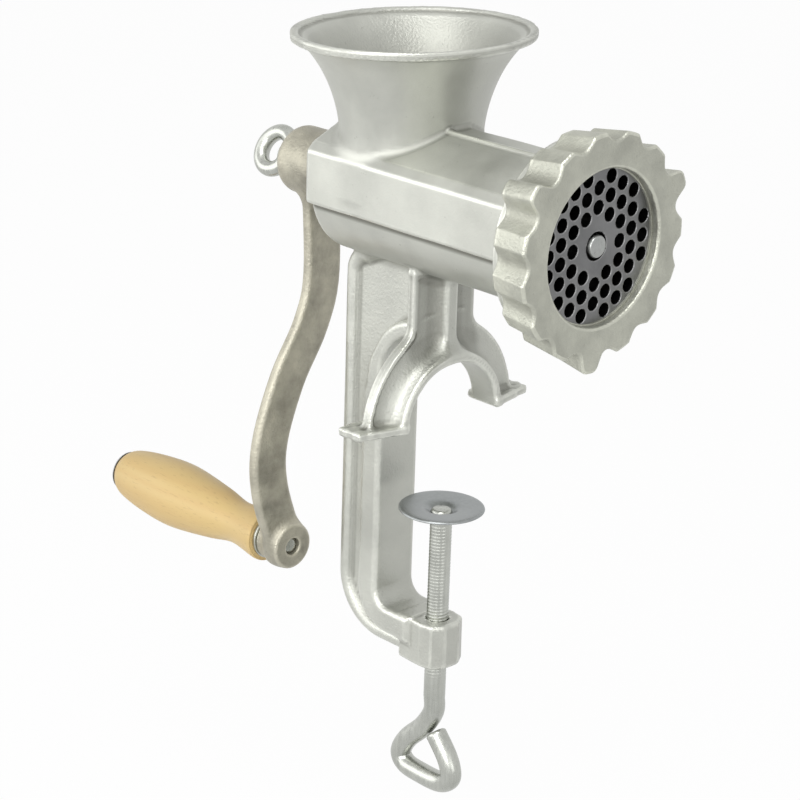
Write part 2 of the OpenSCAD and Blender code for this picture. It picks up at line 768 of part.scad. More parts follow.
// Middle line of the arm, Y against Z: an S from the hub to the eye
module arm_path_bar() {
  path = curve([
    [0, axis_h], [arm_bulge, axis_h - 0.28 * crank_drop],
    [eye_y / 5, axis_h - 0.415 * crank_drop], [eye_y, axis_h - 0.55 * crank_drop],
    [eye_y - 0.9 * arm_bow, axis_h - 0.71 * crank_drop],
    [eye_y - 0.85 * arm_bow, axis_h - 0.84 * crank_drop], [eye_y, eye_z]
  ], 6);
  translate([crank_x, 0, 0]) rotate([90, 0, 90]) swept_bar(path, arm_w / 2, arm_t / 2, 16, 3);
}

module crank_arm() {
  color(iron) difference() {
    union() {
      x_lathe() polygon(concat(
        [[hub_front_x, 0], [hub_front_x, hub_r - hub_chamfer], [hub_front_x - hub_chamfer, hub_r]],
        arc(hub_back_x + hub_round, hub_r - hub_round, hub_round, 90, 180),
        [[hub_back_x, 0]]));
      arm_path_bar();
      x_rod(eye_r, crank_x - arm_t / 2, crank_x + eye_front, eye_y, eye_z);
      x_rod(collar_r, crank_x - eye_back, crank_x, eye_y, eye_z);
    }
    translate([hub_back_x - over, -drive_square / 2 - slip_gap, axis_h - drive_square / 2 - slip_gap])
      cube([hub_len + 2 * over, drive_square + 2 * slip_gap, drive_square + 2 * slip_gap]);
    x_rod(pin_neck_r + slip_gap, crank_x - eye_back - over, crank_x + eye_front + over, eye_y, eye_z);
  }
}

module crank_washer() {
  color(zinc) difference() {
    x_rod(washer_r, thumb_seat_x, hub_back_x);
    x_rod(thumb_screw_r + 2 * slip_gap, thumb_seat_x - over, hub_back_x + over);
  }
}

// A ring of bent wire on a threaded shank
module thumb_screw() {
  color(zinc) union() {
    translate([thumb_ring_x, 0, axis_h]) rotate([-thumb_tilt, 0, 0]) rotate([90, 0, 0])
      rotate_extrude() translate([thumb_ring_r - thumb_wire_r, 0]) circle(r = thumb_wire_r, $fn = 32);
    x_rod(thumb_screw_r, thumb_ring_x + thumb_ring_r - 1.5 * thumb_wire_r, hub_back_x + thumb_len);
    x_rod(thumb_collar_r, thumb_ring_x + thumb_ring_r - thumb_wire_r, thumb_seat_x);
  }
}

// The pin's shoulder stands against the eye, its neck is driven into it and its far end is riveted
module handle_pin() {
  shoulder = crank_x - eye_back - slip_gap;
  seat = cap_x - handle_washer_t;
  color(zinc) union() {
    x_rod(pin_r, seat - pin_head_t, shoulder, eye_y, eye_z);
    x_rod(pin_neck_r, shoulder - over, crank_x + eye_front - neck_inset_d, eye_y, eye_z);
    x_rod(pin_r + pin_head_rim, seat - pin_head_t, seat, eye_y, eye_z);
  }
}

module handle_washer() {
  back = crank_x - eye_back;
  color(zinc) difference() {
    x_rod(collar_r + washer_rim, back - handle_washer_t, back, eye_y, eye_z);
    x_rod(pin_r + slip_gap, back - handle_washer_t - over, back + over, eye_y, eye_z);
  }
}

// Turned grip: a small flare at the eye, a waist, a full swell and a rounded end
module wooden_handle() {
  profile = curve([
    [handle_x, handle_eye_r - edge_ease], [handle_x - 0.02 * handle_len, handle_eye_r],
    [handle_x - 0.19 * handle_len, waist_r],
    [handle_x - 0.36 * handle_len, (waist_r + swell_r) / 2], [handle_x - 0.6 * handle_len, swell_r],
    [handle_x - 0.8 * handle_len, swell_r - swell_fall],
    [handle_x - 0.95 * handle_len, cap_r + shoulder_step],
    [handle_end_x, cap_r - end_inset]
  ], 4);
  color(beech) difference() {
    x_lathe(eye_y, eye_z) polygon(concat([[handle_x, 0]], profile, [[handle_end_x, 0]]));
    x_rod(pin_r + run_gap, handle_end_x - over, handle_x + over, eye_y, eye_z);
  }
}

module handle_end_cap() {
  color(steel) difference() {
    x_rod(cap_r, cap_x - handle_washer_t, cap_x, eye_y, eye_z);
    x_rod(pin_r + slip_gap, cap_x - handle_washer_t - over, cap_x + over, eye_y, eye_z);
  }
}

// A dished steel disc with a dimple that holds the riveted screw end below the table
module clamp_pad() {
  color(zinc) rotate_extrude() polygon([
    [rivet_r + run_gap, floor_z], [dimple_r, floor_z], [dimple_r + dimple_slope, pad_z], [pad_r, pad_z],
    [pad_r, pad_z - pad_edge], [dimple_r + dimple_slope, pad_z - pad_t],
    [dimple_r, floor_z - pad_t], [rivet_r + run_gap, floor_z - pad_t]
  ]);
}

// The rod's own end is bent into a three-cornered loop for the hand
module clamp_screw() {
  low = bend_z - loop_h;
  left = -loop_lean - loop_w;
  right = loop_w - loop_lean;
  loop = curve([[0, bend_z + bend_run], [0, bend_z - bend_run], [0.3 * left, bend_z - 0.36 * loop_h],
    [0.78 * left, bend_z - 0.62 * loop_h], [left, bend_z - 0.84 * loop_h],
    [0.82 * left, low + 0.03 * loop_h], [0.35 * left, low],
    [0.4 * right, low + 0.01 * loop_h], [0.92 * right, low + 0.1 * loop_h], [right, bend_z - 0.78 * loop_h],
    [0.75 * right, bend_z - 0.6 * loop_h], [0.12 * right, bend_z - 0.36 * loop_h]], 5);
  color(zinc) union() {
    z_rod(screw_r, bend_z + bend_run / 2, floor_z - pad_t - slip_gap);
    z_rod(rivet_r, floor_z - pad_t - over, floor_z + rivet_h / 2);
    z_rod(screw_r, floor_z + slip_gap, floor_z + rivet_h);
    rotate([0, 0, loop_angle]) rotate([90, 0, 0]) swept_bar(loop, loop_rod_r, loop_rod_r, 12);
  }
}

body_casting();
rear_bush();
thrust_washer();
auger();
knife_stud();
knife();
perforated_plate();
plate_key();
ring_nut();
crank_arm();
crank_washer();
thumb_screw();
handle_pin();
handle_washer();
wooden_handle();
handle_end_cap();
clamp_screw();
clamp_pad();
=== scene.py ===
"""Looks of a hand-cranked meat grinder that clamps to a table edge, built on its fixed frame.

Shapes are worked out in millimetres and put into the meshes in metres. +X is the outlet end, +Z is up,
and the origin lies on the clamp screw's axis in the plane of the table top.
"""

import itertools
import json
import math
from types import SimpleNamespace

import bpy
import numpy as np
from bpy.props import FloatProperty, FloatVectorProperty, IntProperty, PointerProperty
from mathutils import Matrix, Vector


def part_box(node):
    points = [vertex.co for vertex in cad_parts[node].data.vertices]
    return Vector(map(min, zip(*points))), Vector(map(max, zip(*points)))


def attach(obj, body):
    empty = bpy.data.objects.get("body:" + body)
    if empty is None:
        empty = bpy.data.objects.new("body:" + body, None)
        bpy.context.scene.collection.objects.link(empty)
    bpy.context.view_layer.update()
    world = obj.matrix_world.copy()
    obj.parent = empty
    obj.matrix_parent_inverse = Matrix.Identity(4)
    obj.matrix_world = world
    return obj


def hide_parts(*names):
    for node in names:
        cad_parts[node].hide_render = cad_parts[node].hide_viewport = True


bl_info = {
    "name": "Hand-cranked meat grinder",
    "version": (1, 0, 0),
    "blender": (4, 5, 0),
    "location": "3D View > Sidebar > Grinder",
    "description": "Builds the visible pieces of a hand-cranked meat grinder",
    "category": "Object",
}

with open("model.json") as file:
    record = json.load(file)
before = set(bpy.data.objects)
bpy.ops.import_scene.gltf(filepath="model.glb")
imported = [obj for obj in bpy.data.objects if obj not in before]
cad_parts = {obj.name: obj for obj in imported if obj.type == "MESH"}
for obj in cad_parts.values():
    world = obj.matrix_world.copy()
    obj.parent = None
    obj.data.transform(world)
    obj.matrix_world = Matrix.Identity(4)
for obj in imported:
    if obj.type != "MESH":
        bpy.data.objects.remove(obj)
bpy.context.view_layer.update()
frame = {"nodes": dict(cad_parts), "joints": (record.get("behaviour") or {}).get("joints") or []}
MM = 0.001

# Past every piece, and the rounding of corners that stay sharp, in millimetres
FAR = 1e3
SHARP = 0.1


def corners(part):
    """A frame part's lowest and highest corners, in millimetres."""
    low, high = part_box(part)
    return np.array(low) / MM, np.array(high) / MM


BODY = corners("body_casting")
BUSH = corners("rear_bush")
RING = corners("ring_nut")
PLATE = corners("perforated_plate")
STUD = corners("knife_stud")
KNIFE = corners("knife")
WORM = corners("auger")
CRANK = corners("crank_arm")
WASHER = corners("crank_washer")
THUMB = corners("thumb_screw")
PIN = corners("handle_pin")
EYE_WASHER = corners("handle_washer")
GRIP = corners("wooden_handle")
CAP = corners("handle_end_cap")
PAD = corners("clamp_pad")
SCREW = corners("clamp_screw")
AXIS_Z = (STUD[0][2] + STUD[1][2]) / 2
EYE_Y = (GRIP[0][1] + GRIP[1][1]) / 2
EYE_Z = (GRIP[0][2] + GRIP[1][2]) / 2


def size(name, description, millimetres):
    """A length that a user may change."""
    return FloatProperty(name=name, description=description, default=millimetres * MM, unit="LENGTH",
                         precision=5)


def turn_of(name, description, degrees):
    """An angle that a user may change."""
    return FloatProperty(name=name, description=description, default=math.radians(degrees), subtype="ANGLE")


def share(name, description, value):
    """A plain number that a user may change."""
    return FloatProperty(name=name, description=description, default=value)


def tint(name, description, colour):
    """A surface colour that a user may change."""
    return FloatVectorProperty(name=name, description=description, default=colour, subtype="COLOR",
                               min=0, max=1)


class CastingSizes(bpy.types.PropertyGroup):
    """Sizes of the body casting"""

    barrel_back: size("Barrel back", "From the clamp screw back to the barrel's rear face", 45.5)
    bore: size("Bore", "Radius of the worm bore", 22)
    under: size("Underside", "Radius of the barrel's round underside", 25.5)
    half_width: size("Half width", "Half the width across the barrel's flat sides", 28)
    crown_width: size("Crown width", "Width of the flat along the crown", 10)
    crown: size("Crown", "Height of the crown above the worm axis", 26)
    side_top: size("Side top", "Height of the flat sides above the worm axis", 14)
    side_bottom: size("Side bottom", "Depth of the flat sides below the worm axis", 5)
    bevel: size("Bevel", "Bevel between the flat sides and the roof", 3)
    barrel_round: size("Barrel edges", "Rounding of the barrel's long edges", 1.5)
    rear_wall: size("Rear wall", "Wall at the barrel's rear end", 5.5)
    bush_fit: size("Bush fit", "Room round the rear bush", 0.1)
    boss: size("Bearing boss", "Radius of the rear bearing boss", 12.61)
    neck: size("Neck", "Mean radius of the hopper's neck", 24.6)
    neck_inset: size("Neck inset", "How far the neck stays in front of the barrel's rear face", 1.8)
    neck_height: size("Neck height", "Height of the neck above the worm axis", 25)
    rim: size("Rim", "Mean radius of the hopper's rim", 42.25)
    wall: size("Hopper wall", "Wall of the hopper", 3)
    seam: size("Seam", "Radius of the casting seam along the crown", 0.8)
    seam_start: size("Seam start", "Place along the barrel where the seam starts", -20)
    rim_bead: size("Rim bead", "Half the width and height of the band along the rim", 1.5)
    flare: share("Flare", "Slope of the hopper's wall just above the neck", 0.25)
    oval_along: share("Oval along", "Hopper's share of its mean radius along the barrel", 0.9)
    oval_across: share("Oval across", "Hopper's share of its mean radius across the barrel", 1.09)
    head: size("Head", "Radius of the threaded head", 33.85)
    head_back: size("Head back", "From the clamp screw to the head's rear face", 51.5)
    chamber: size("Chamber", "Radius of the knife's chamber", 31.05)
    chamber_back: size("Chamber back", "From the clamp screw to the chamber's floor", 55.15)
    thread_pitch: size("Head thread", "Pitch of the thread on the head", 3)
    thread_depth: size("Head thread depth", "Depth of the thread on the head", 1.1)
    arch: size("Arch", "Inner radius of the saddle's arch", 21)
    leg: size("Leg", "Outer radius of the saddle's legs", 35.3)
    arch_thick: size("Arch flange", "Thickness of the flange under the arch", 5)
    arch_front: size("Arch front", "From the clamp screw forward to the arch's front", 4)
    arch_back: size("Arch back", "From the clamp screw back to the arch's rear", 7)
    arch_ease: size("Arch easing", "Easing of the arch's lower edges", 1.5)
    pillar: size("Pillar", "Half the width of the pillar", 15)
    pillar_back: size("Pillar back", "From the clamp screw back to the pillar's rear face", 6)
    pillar_thick: size("Pillar plate", "Thickness of the pillar's plate", 3.5)
    border_width: size("Border width", "Width of the legs' raised border", 1.7)
    border_rise: size("Border rise", "Height of the legs' raised border", 0.9)
    border_fade: size("Border fade", "Height over which the raised border runs out", 8)
    rib_width: size("Rib width", "Width of the pillar's middle rib", 4.8)
    rib_rise: size("Rib rise", "Height of the pillar's middle rib", 3.8)
    foot_reach: size("Foot reach", "Reach of the feet to each side", 41.5)
    foot_back: size("Foot back", "From the clamp screw back to the feet's rear", 10.5)
    foot_step: size("Foot step", "How far the feet stand in front of the arch", 0.7)
    foot_taper: size("Foot taper", "How much narrower the feet get outwards", 4)
    foot_thick: size("Foot", "Thickness of the feet", 3.2)
    frame_back: size("Frame back", "From the clamp screw back to the frame's rear edge", 49.3)
    bead_depth: size("Bead depth", "Depth of the frame's rear bead", 6)
    bead_width: size("Bead width", "Width of the frame's rear bead", 9)
    web: size("Web", "Thickness of the frame's web", 4.4)
    throat: size("Throat", "From the clamp screw back to the throat's face", 23)
    flange_width: size("Flange width", "Width of the throat's flange", 20)
    flange_thick: size("Flange", "Thickness of the throat's flange", 10)
    flange_top: size("Flange top", "Height at which the flange turns forward", 12.5)
    flange_upper: size("Upper flange", "Thickness of the flange where it turns forward", 6)
    arm_depth: size("Arm depth", "Depth from the table top to the lower arm", 77)
    corner: size("Lower corner", "Radius of the frame's lower rear corner", 22.5)
    shoulder: size("Upper corner", "Radius of the frame's upper rear corner", 10)
    frame_sink: size("Frame sink", "How far the frame's top runs into the barrel", 1.5)
    throat_corner: size("Throat corner", "Radius of the throat's lower corner", 6)
    boss_rear: size("Screw boss rear", "Length of the screw boss behind the screw", 11.5)
    boss_front: size("Screw boss front", "Length of the screw boss in front of the screw", 8)
    boss_width: size("Screw boss width", "Width of the screw boss", 18)
    screw_hole: size("Screw hole", "Radius of the hole for the clamp screw", 4.06)
    fillet: size("Fillet", "Size of the larger casting fillets", 4)
    small_fillet: size("Small fillet", "Size of the smaller casting fillets", 2)
    edge: size("Edges", "Rounding of the bearing boss, the rib and the feet", 0.8)
    plate_edge: size("Plate edges", "Rounding of the pillar's plate", 1)
    broad_edge: size("Broad edges", "Rounding of the arch and the screw boss", 1.2)
    fine_edge: size("Fine edges", "Rounding of the raised border and the web", 0.4)
    flange_edge: size("Flange edges", "Rounding of the throat's flange", 2.2)
    lumps: size("Lumps", "Height of the slow waves that the mould leaves", 0.1)
    knocks: size("Knocks", "Height of the knocks on the feet and depth of the dents in the rim", 0.3)
    # The next three darken the surface and make it rougher: painted shade on the pillar's hollow front and
    # the hopper's inside, a darker band on the rim, and a painted shadow in the crease under the flat sides
    dull_hollow: share("Painted hollow shade", "How much shade is painted on the pillar's front and the hopper's inside", 0.055)
    dull_rim: share("Rim darkening", "How much darker and rougher the hopper's rim band is", 0.08)
    dull_crease: share("Painted crease shadow", "How much shadow is painted in the crease under the flat sides", 0.12)


class OutletSizes(bpy.types.PropertyGroup):
    """Sizes of the ring nut and of what it holds"""

    lobes: IntProperty(name="Lobes", description="Number of lobes", default=15)
    lug_step: IntProperty(name="Lug step", description="Lobes from one grip lug to the next", default=5)
    valley: size("Valley", "Radius of the hollows between the lobes", 35.71)
    lobe_rise: size("Lobe rise", "How far the lobes rise", 2.9)
    lug_rise: size("Lug rise", "How far the grip lugs rise above the lobes", 3.8)
    lug_angle: turn_of("Lug angle", "Angle of the first grip lug from the far side", 25)
    lug_half: turn_of("Lug half width", "Half width of a grip lug", 6)
    bore: size("Thread bore", "Radius of the ring nut's thread", 33.91)
    mouth: size("Mouth", "Radius of the ring nut's opening", 26.5)
    mouth_round: size("Mouth edge", "Rounding of the opening's edge", 1)
    lip: size("Lip", "Thickness of the ring nut's front lip", 3.8)
    front_round: size("Front edge", "Rounding of the ring nut's front edge", 1.1)
    rear_round: size("Rear edge", "Rounding of the ring nut's rear edge", 1.0)
    taper: size("Taper", "How much smaller the ring nut is at its rear", 1.2)
    lobe_flat: share("Lobe flat", "Flat top of a lobe, as a share of the step between lobes", 0.36)
    hole: size("Plate hole", "Radius of the holes in the plate", 2.4)
    pitch: size("Plate pitch", "Distance between the holes in the plate", 6.5)
    middle: size("Plate middle", "Radius of the plate's solid middle", 7.8)
    hole_ease: size("Hole edge", "Easing of the holes' edges", 0.3)
    key_notch: size("Key notch", "Radius of the notch for the plate's key", 2.1)
    stud: size("Stud", "Radius of the stud's round end", 3.9)
    stud_room: size("Stud room", "Room round the stud in the plate", 0.9)
    stud_shank: size("Stud shank", "Radius of the stud's shank in the worm", 4.3)


class WormSizes(bpy.types.PropertyGroup):
    """Sizes of the worm"""

    journal: size("Journal", "Radius of the worm's journal", 8)
    collar: size("Collar", "Radius of the worm's thrust collar", 13.5)
    collar_len: size("Collar length", "Length of the worm's thrust collar", 3)
    core_back: size("Core back", "Radius of the core at the hopper end", 9.5)
    core_front: size("Core front", "Radius of the core at the outlet end", 13)
    flight: size("Flight", "Radius of the flight", 21.4)
    flight_root: size("Flight root", "Thickness of the flight at its root", 6)
    flight_edge: size("Flight edge", "Thickness of the flight at its edge", 3)
    turns: share("Turns", "Turns of the flight", 3.25)
    pitch_fall: share("Pitch fall", "Share by which the pitch falls towards the outlet", 0.25)
    square: size("Square", "Side of the driving square", 11)
    shoulder_x: size("Shoulder", "Place of the collar's rear face along the barrel", -38.45)
    drive_x: size("Drive", "Place of the square's front end along the barrel", -55.55)
    flight_fade: share("Flight fade", "Share of the flight over which each end rises", 1 / 14)
    stud_hole: size("Stud hole", "Radius of the hole for the knife stud", 4.35)


class CrankSizes(bpy.types.PropertyGroup):
    """Sizes of the crank, its thumb screw and its handle"""

    hub: size("Hub", "Radius of the crank's hub", 12.4)
    hub_len: size("Hub length", "Length of the crank's hub", 24)
    hub_round: size("Hub rounding", "Rounding of the hub's rear end", 4.5)
    hub_fillet: size("Hub fillet", "Fillet between the hub and the arm", 5)
    square: size("Square", "Half the side of the hub's square hole", 5.55)
    arm_width: size("Arm width", "Width of the crank arm", 16)
    arm_thick: size("Arm thickness", "Thickness of the crank arm", 4.5)
    arm_round: size("Arm rounding", "Rounding of the crank arm's edges", 1.9)
    arm_bow: size("Arm bow", "How far the arm's lower curve swings out past the eye", 9)
    arm_bulge: size("Arm bulge", "How far the arm's upper curve swings to the far side", 2)
    eye: size("Eye", "Radius of the eye", 8.75)
    eye_front: size("Eye front", "Length of the eye in front of the arm's middle", 5)
    eye_back: size("Eye back", "Length of the eye's collar behind the arm's middle", 7.5)
    collar: size("Eye collar", "Radius of the eye's collar", 7.75)
    eye_fillet: size("Eye fillet", "Fillet between the arm and the eye", 3.5)
    pin_neck: size("Pin neck", "Radius of the pin's neck in the eye", 3.2)
    pin: size("Pin", "Radius of the handle's pin", 4)
    pin_fit: size("Pin fit", "Room round the pin in the eye, the washer and the cap", 0.05)
    pin_end: size("Pin end", "Radius of the flat on the pin's riveted head", 3.6)
    pin_room: size("Pin room", "Room round the pin in the handle", 0.06)
    thumb_ring: size("Thumb ring", "Outer radius of the thumb screw's ring", 10.1)
    thumb_wire: size("Thumb wire", "Radius of the thumb screw's wire", 2.9)
    thumb_thread: size("Thumb thread", "Radius of the thumb screw's thread", 3.5)
    thumb_collar: size("Thumb collar", "Radius of the thumb screw's collar", 6)
    thumb_gap: size("Thumb gap", "Gap between the ring and its washer", 0.2)
    thumb_tilt: turn_of("Thumb tilt", "Tilt of the thumb screw's ring", 30)
    washer_hole: size("Washer hole", "Radius of the crank washer's hole", 3.6)
    swell: size("Swell", "Radius of the handle at its swell", 12.9)
    waist: size("Waist", "Radius of the handle at its waist", 8.2)
    eye_end: size("Eye end", "Radius of the handle at the eye", 10)
    cap: size("End cap", "Radius of the handle's end cap", 8)
    cap_step: size("Cap step", "How far the handle stands out past the end cap", 1.9)
    cap_flat: size("Cap flat", "Radius of the flat in the middle of the end cap", 5.6)


class ClampSizes(bpy.types.PropertyGroup):
    """Sizes of the clamp screw and its pad"""

    rod: size("Rod", "Radius of the clamp screw", 4)
    thread_pitch: size("Pitch", "Pitch of the screw's thread", 1.25)
    thread_depth: size("Depth", "Depth of the screw's thread", 0.11)
    thread_end: size("Thread end", "Height at which the thread runs out", -101)
    pad_plate: size("Pad plate", "Thickness of the pad's plate", 1.8)
    pad_edge: size("Pad edge", "Thickness of the pad at its edge", 1.3)
    dimple: size("Dimple", "Radius of the dimple's floor", 5)
    slope: size("Slope", "Width of the slope round the dimple", 1.5)
    dimple_depth: size("Dimple depth", "Depth of the dimple", 2.2)
    neck: size("Neck", "Radius of the screw's neck in the pad", 2.9)
    neck_room: size("Neck room", "Room round the neck in the pad", 0.2)
    bend: size("Bend", "Height of the loop's first bend", -111.8)
    loop_half: size("Loop half width", "Half the width of the loop", 13.2)
    loop_lean: size("Loop lean", "How far the loop's middle lies behind the screw", 3.2)
    loop_height: size("Loop height", "Height of the loop", 30.8)
    loop_thin: size("Loop thinning", "How much the rod thins where it is bent", 0.08)


class FinishColours(bpy.types.PropertyGroup):
    """Colours of the finishes"""

    tin: tint("Tin", "Hot-tinned casting", (0.49, 0.497, 0.454))
    # Painted shade for the casting's hollows, which also colours its scattered pits
    tin_dark: tint("Tin in hollows", "Painted shade in the casting's hollows, also the colour of its pits", (0.19, 0.19, 0.165))
    ring: tint("Ring iron", "Ring nut's casting", (0.44, 0.445, 0.385))
    # Painted shade for the ring's hollows, which also colours its pits
    ring_dark: tint("Ring iron in hollows", "Painted shade in the ring's hollows, also the colour of its pits", (0.20, 0.197, 0.165))
    crank: tint("Crank iron", "Crank's casting", (0.375, 0.358, 0.292))
    # Brownish painted shade for the crank's hollows, which also colours its pits
    crank_dark: tint("Crank iron in hollows", "Brownish painted shade in the crank's hollows, also the colour of its pits", (0.14, 0.12, 0.088))
    zinc: tint("Zinc", "Zinc-plated steel", (0.45, 0.46, 0.425))
    # The pad's own matt zinc, and painted shade in the hollows of plated and ground steel
    zinc_dark: tint("Dull zinc", "Matt zinc of the pad, and painted shade in the hollows of plated and ground steel", (0.32, 0.335, 0.335))
    bright: tint("Bright steel", "Ground steel", (0.36, 0.37, 0.36))
    dark: tint("Dark steel", "Hardened steel", (0.15, 0.152, 0.153))
    # Rubbed patches of the hardened steel, and its edges, which are rubbed and also get a painted highlight
    dark_worn: tint("Worn dark steel", "Hardened steel where it is rubbed, and the painted highlight on its edges", (0.30, 0.30, 0.30))
    beech: tint("Beech", "Beech between its darker lines", (0.62, 0.455, 0.195))
    beech_line: tint("Beech lines", "Darker lines of the beech", (0.58, 0.39, 0.17))
    bush: tint("Bush", "Plastic of the bush", (0.75, 0.72, 0.62))
    fibre: tint("Fibre", "Fibre of the thrust washer", (0.35, 0.09, 0.06))
    floor: tint("Floor", "Pale floor", (0.9, 0.9, 0.9))


GROUPS = {
    "grinder_casting": CastingSizes,
    "grinder_outlet": OutletSizes,
    "grinder_worm": WormSizes,
    "grinder_crank": CrankSizes,
    "grinder_clamp": ClampSizes,
    "grinder_finish": FinishColours,
}


def values_of(group):
    """A property group's values by name, with lengths in millimetres."""
    out = SimpleNamespace()
    for key in group.__annotations__:
        kind = group.bl_rna.properties[key]
        scale = 1 / MM if getattr(kind, "unit", "NONE") == "LENGTH" else 1
        value = getattr(group, key)
        setattr(out, key, value if kind.type == "INT" or getattr(kind, "is_array", False) else value * scale)
    return out


# Distances to shapes


def within(value, low, high):
    """Distance past the nearer end of a span, negative inside it."""
    return np.abs(value - (low + high) / 2) - (high - low) / 2


def carried(flat, along, rounding=0.0):
    """A flat shape carried along a third axis: the distance to the corner of the two, with that corner
    rounded."""
    u = flat + rounding
    v = along + rounding
    outside = np.sqrt(np.maximum(u, 0) ** 2 + np.maximum(v, 0) ** 2)
    return np.minimum(np.maximum(u, v), 0) + outside - rounding


def joined(a, b, blend):
    """Union of two distances, with a fillet where they are closer than the blend: the lesser of the two,
    less a parabola of their difference."""
    h = np.clip(0.5 + 0.5 * (b - a) / blend, 0, 1)
    return b + (a - b) * h - blend * h * (1 - h)


def cut(a, b, blend=0.6):
    """Shape a without shape b, with the edge between them eased."""
    return -joined(-a, b, blend)


def stretch(u, v, start, end):
    """Distance in a plane to the straight stretch between two points."""
    du, dv = end[0] - start[0], end[1] - start[1]
    t = np.clip(((u - start[0]) * du + (v - start[1]) * dv) / (du * du + dv * dv), 0, 1)
    return np.hypot(u - start[0] - t * du, v - start[1] - t * dv)


def bend_line(u, v, centre, radius, low):
    """Distance in a plane to the quarter of a circle that lies to the left of its centre, below or above it,
    and far off elsewhere."""
    here = (u < centre[0]) & ((v < centre[1]) if low else (v > centre[1]))
    return np.where(here, np.abs(np.hypot(u - centre[0], v - centre[1]) - radius), FAR)


def outline(u, v, points):
    """Distance in a plane to a closed outline: the nearest edge, negative where a ray to the side crosses the
    outline an odd number of times."""
    best = np.full(np.broadcast(u, v).shape, FAR)
    inside = np.zeros(best.shape, bool)
    for (u0, v0), (u1, v1) in zip(points, points[1:] + points[:1]):
        best = np.minimum(best, stretch(u, v, (u0, v0), (u1, v1)))
        if v0 != v1:
            crosses = ((v0 > v) != (v1 > v)) & (u < u0 + (v - v0) * (u1 - u0) / (v1 - v0))
            inside ^= crosses
    return np.where(inside, -best, best)


def drawn_in(points, amount):
    """A closed outline whose sides lie further in by an amount: each corner moves along the sum of the two
    inward normals, divided by one more than their product. The corners run anticlockwise."""
    p = np.array(points, float)
    side = np.roll(p, -1, 0) - p
    side /= np.linalg.norm(side, axis=1)[:, None]
    after = np.stack([-side[:, 1], side[:, 0]], 1)
    before = np.roll(after, 1, 0)
    moved = p + amount * (before + after) / (1 + (before * after).sum(1))[:, None]
    return [tuple(corner) for corner in moved]


def round_box(u, v, low, high, radius):
    """Distance in a plane to a rectangle with round corners."""
    return carried(within(u, low[0], high[0]), within(v, low[1], high[1]), radius)


def smooth_line(points, steps):
    """Points along a smooth curve through the given ones: cubic pieces whose slope at a point is half the
    step between its neighbours."""
    p = np.array(points, float)
    p = np.vstack([p[:1], p, p[-1:]])
    t = np.linspace(0, 1, steps, endpoint=False)[None, :, None]
    a, b, c, d = (p[i:len(p) - 3 + i, None, :] for i in range(4))
    square = 2 * a - 5 * b + 4 * c - d
    cube = 3 * b - a - 3 * c + d
    curve = 0.5 * (2 * b + (c - a) * t + square * t ** 2 + cube * t ** 3)
    return np.vstack([curve.reshape(-1, p.shape[1]), p[-1:]])


# Meshes


def slope_of(field, points):
    """A field's slope at each point, from the difference across a small step along each axis."""
    step = 0.02
    out = np.empty_like(points)
    for axis in range(3):
        shift = np.zeros(3)
        shift[axis] = step
        out[:, axis] = (field(*(points + shift).T) - field(*(points - shift).T)) / (2 * step)
    return out


def sharpness(field, points, reach):
    """How strongly the surface turns at each point: the field's mean on six neighbours at the given reach,
    less its own value, which is positive on edges and negative in hollows."""
    total = np.zeros(len(points))
    for axis in range(3):
        shift = np.zeros(3)
        shift[axis] = reach
        total += field(*(points + shift).T) + field(*(points - shift).T)
    return total / (6 * reach)


def crossing_points(level, axes):
    """One point for each cell of a grid that the zero level crosses, at the mean of the crossings on the
    cell's edges, and the points' numbers by cell."""
    inside = level < 0
    span = tuple(n - 1 for n in level.shape)
    steps = list(itertools.product((0, 1), repeat=3))
    count = np.zeros(span, np.int8)
    for a, b, c in steps:
        count += inside[a:span[0] + a, b:span[1] + b, c:span[2] + c]
    mixed = (count > 0) & (count < len(steps))
    cell = np.full(span, -1, np.int64)
    cell[mixed] = np.arange(mixed.sum())
    at = np.nonzero(mixed)
    total = np.zeros((len(at[0]), 3))
    crossings = np.zeros(len(at[0]))
    for start, axis in itertools.product(steps, range(3)):
        if start[axis]:
            continue
        end = tuple(1 if n == axis else s for n, s in enumerate(start))
        low = level[tuple(i + s for i, s in zip(at, start))]
        high = level[tuple(i + s for i, s in zip(at, end))]
        crossed = (low < 0) != (high < 0)
        part = np.where(crossed, low / np.where(crossed, low - high, 1), 0)
        for n, line in enumerate(axes):
            first = line[at[n] + start[n]]
            total[:, n] += np.where(crossed, first + part * (line[at[n] + end[n]] - first), 0)
        crossings += crossed
    return total / crossings[:, None], cell


def crossing_faces(inside, cell):
    """One face for each grid edge that the surface crosses, between the points of the four cells round that
    edge, turned outwards."""
    faces = []
    for axis in range(3):
        here = np.moveaxis(inside, axis, 0)
        cells = np.moveaxis(cell, axis, 0)
        a, b, c = np.nonzero((here[:-1] != here[1:])[:, 1:-1, 1:-1])
        around = [cells[a, b, c], cells[a, b + 1, c], cells[a, b + 1, c + 1], cells[a, b, c + 1]]
        quad = np.stack(around, 1)
        outwards = here[a, b + 1, c + 1] != (axis == 1)
        quad[~outwards] = quad[~outwards][:, ::-1]
        faces.append(quad)
    return np.vstack(faces)


def skin(field, xs, ys, zs):
    """Closed skin where a field is zero, from its values on a grid. The points are then moved down the
    field's slope onto the surface, in three rounds."""
    level = field(xs[:, None, None], ys[None, :, None], zs[None, None, :])
    level = np.broadcast_to(level, (len(xs), len(ys), len(zs)))
    points, cell = crossing_points(level, (xs, ys, zs))
    faces = crossing_faces(level < 0, cell)
    reach = 0.6 * max(np.diff(line).max() for line in (xs, ys, zs))
    for _ in range(3):
        slope = slope_of(field, points)
        move = field(*points.T) / np.maximum((slope ** 2).sum(1), 0.3)
        points -= np.clip(move, -reach, reach)[:, None] * slope
    return points, faces


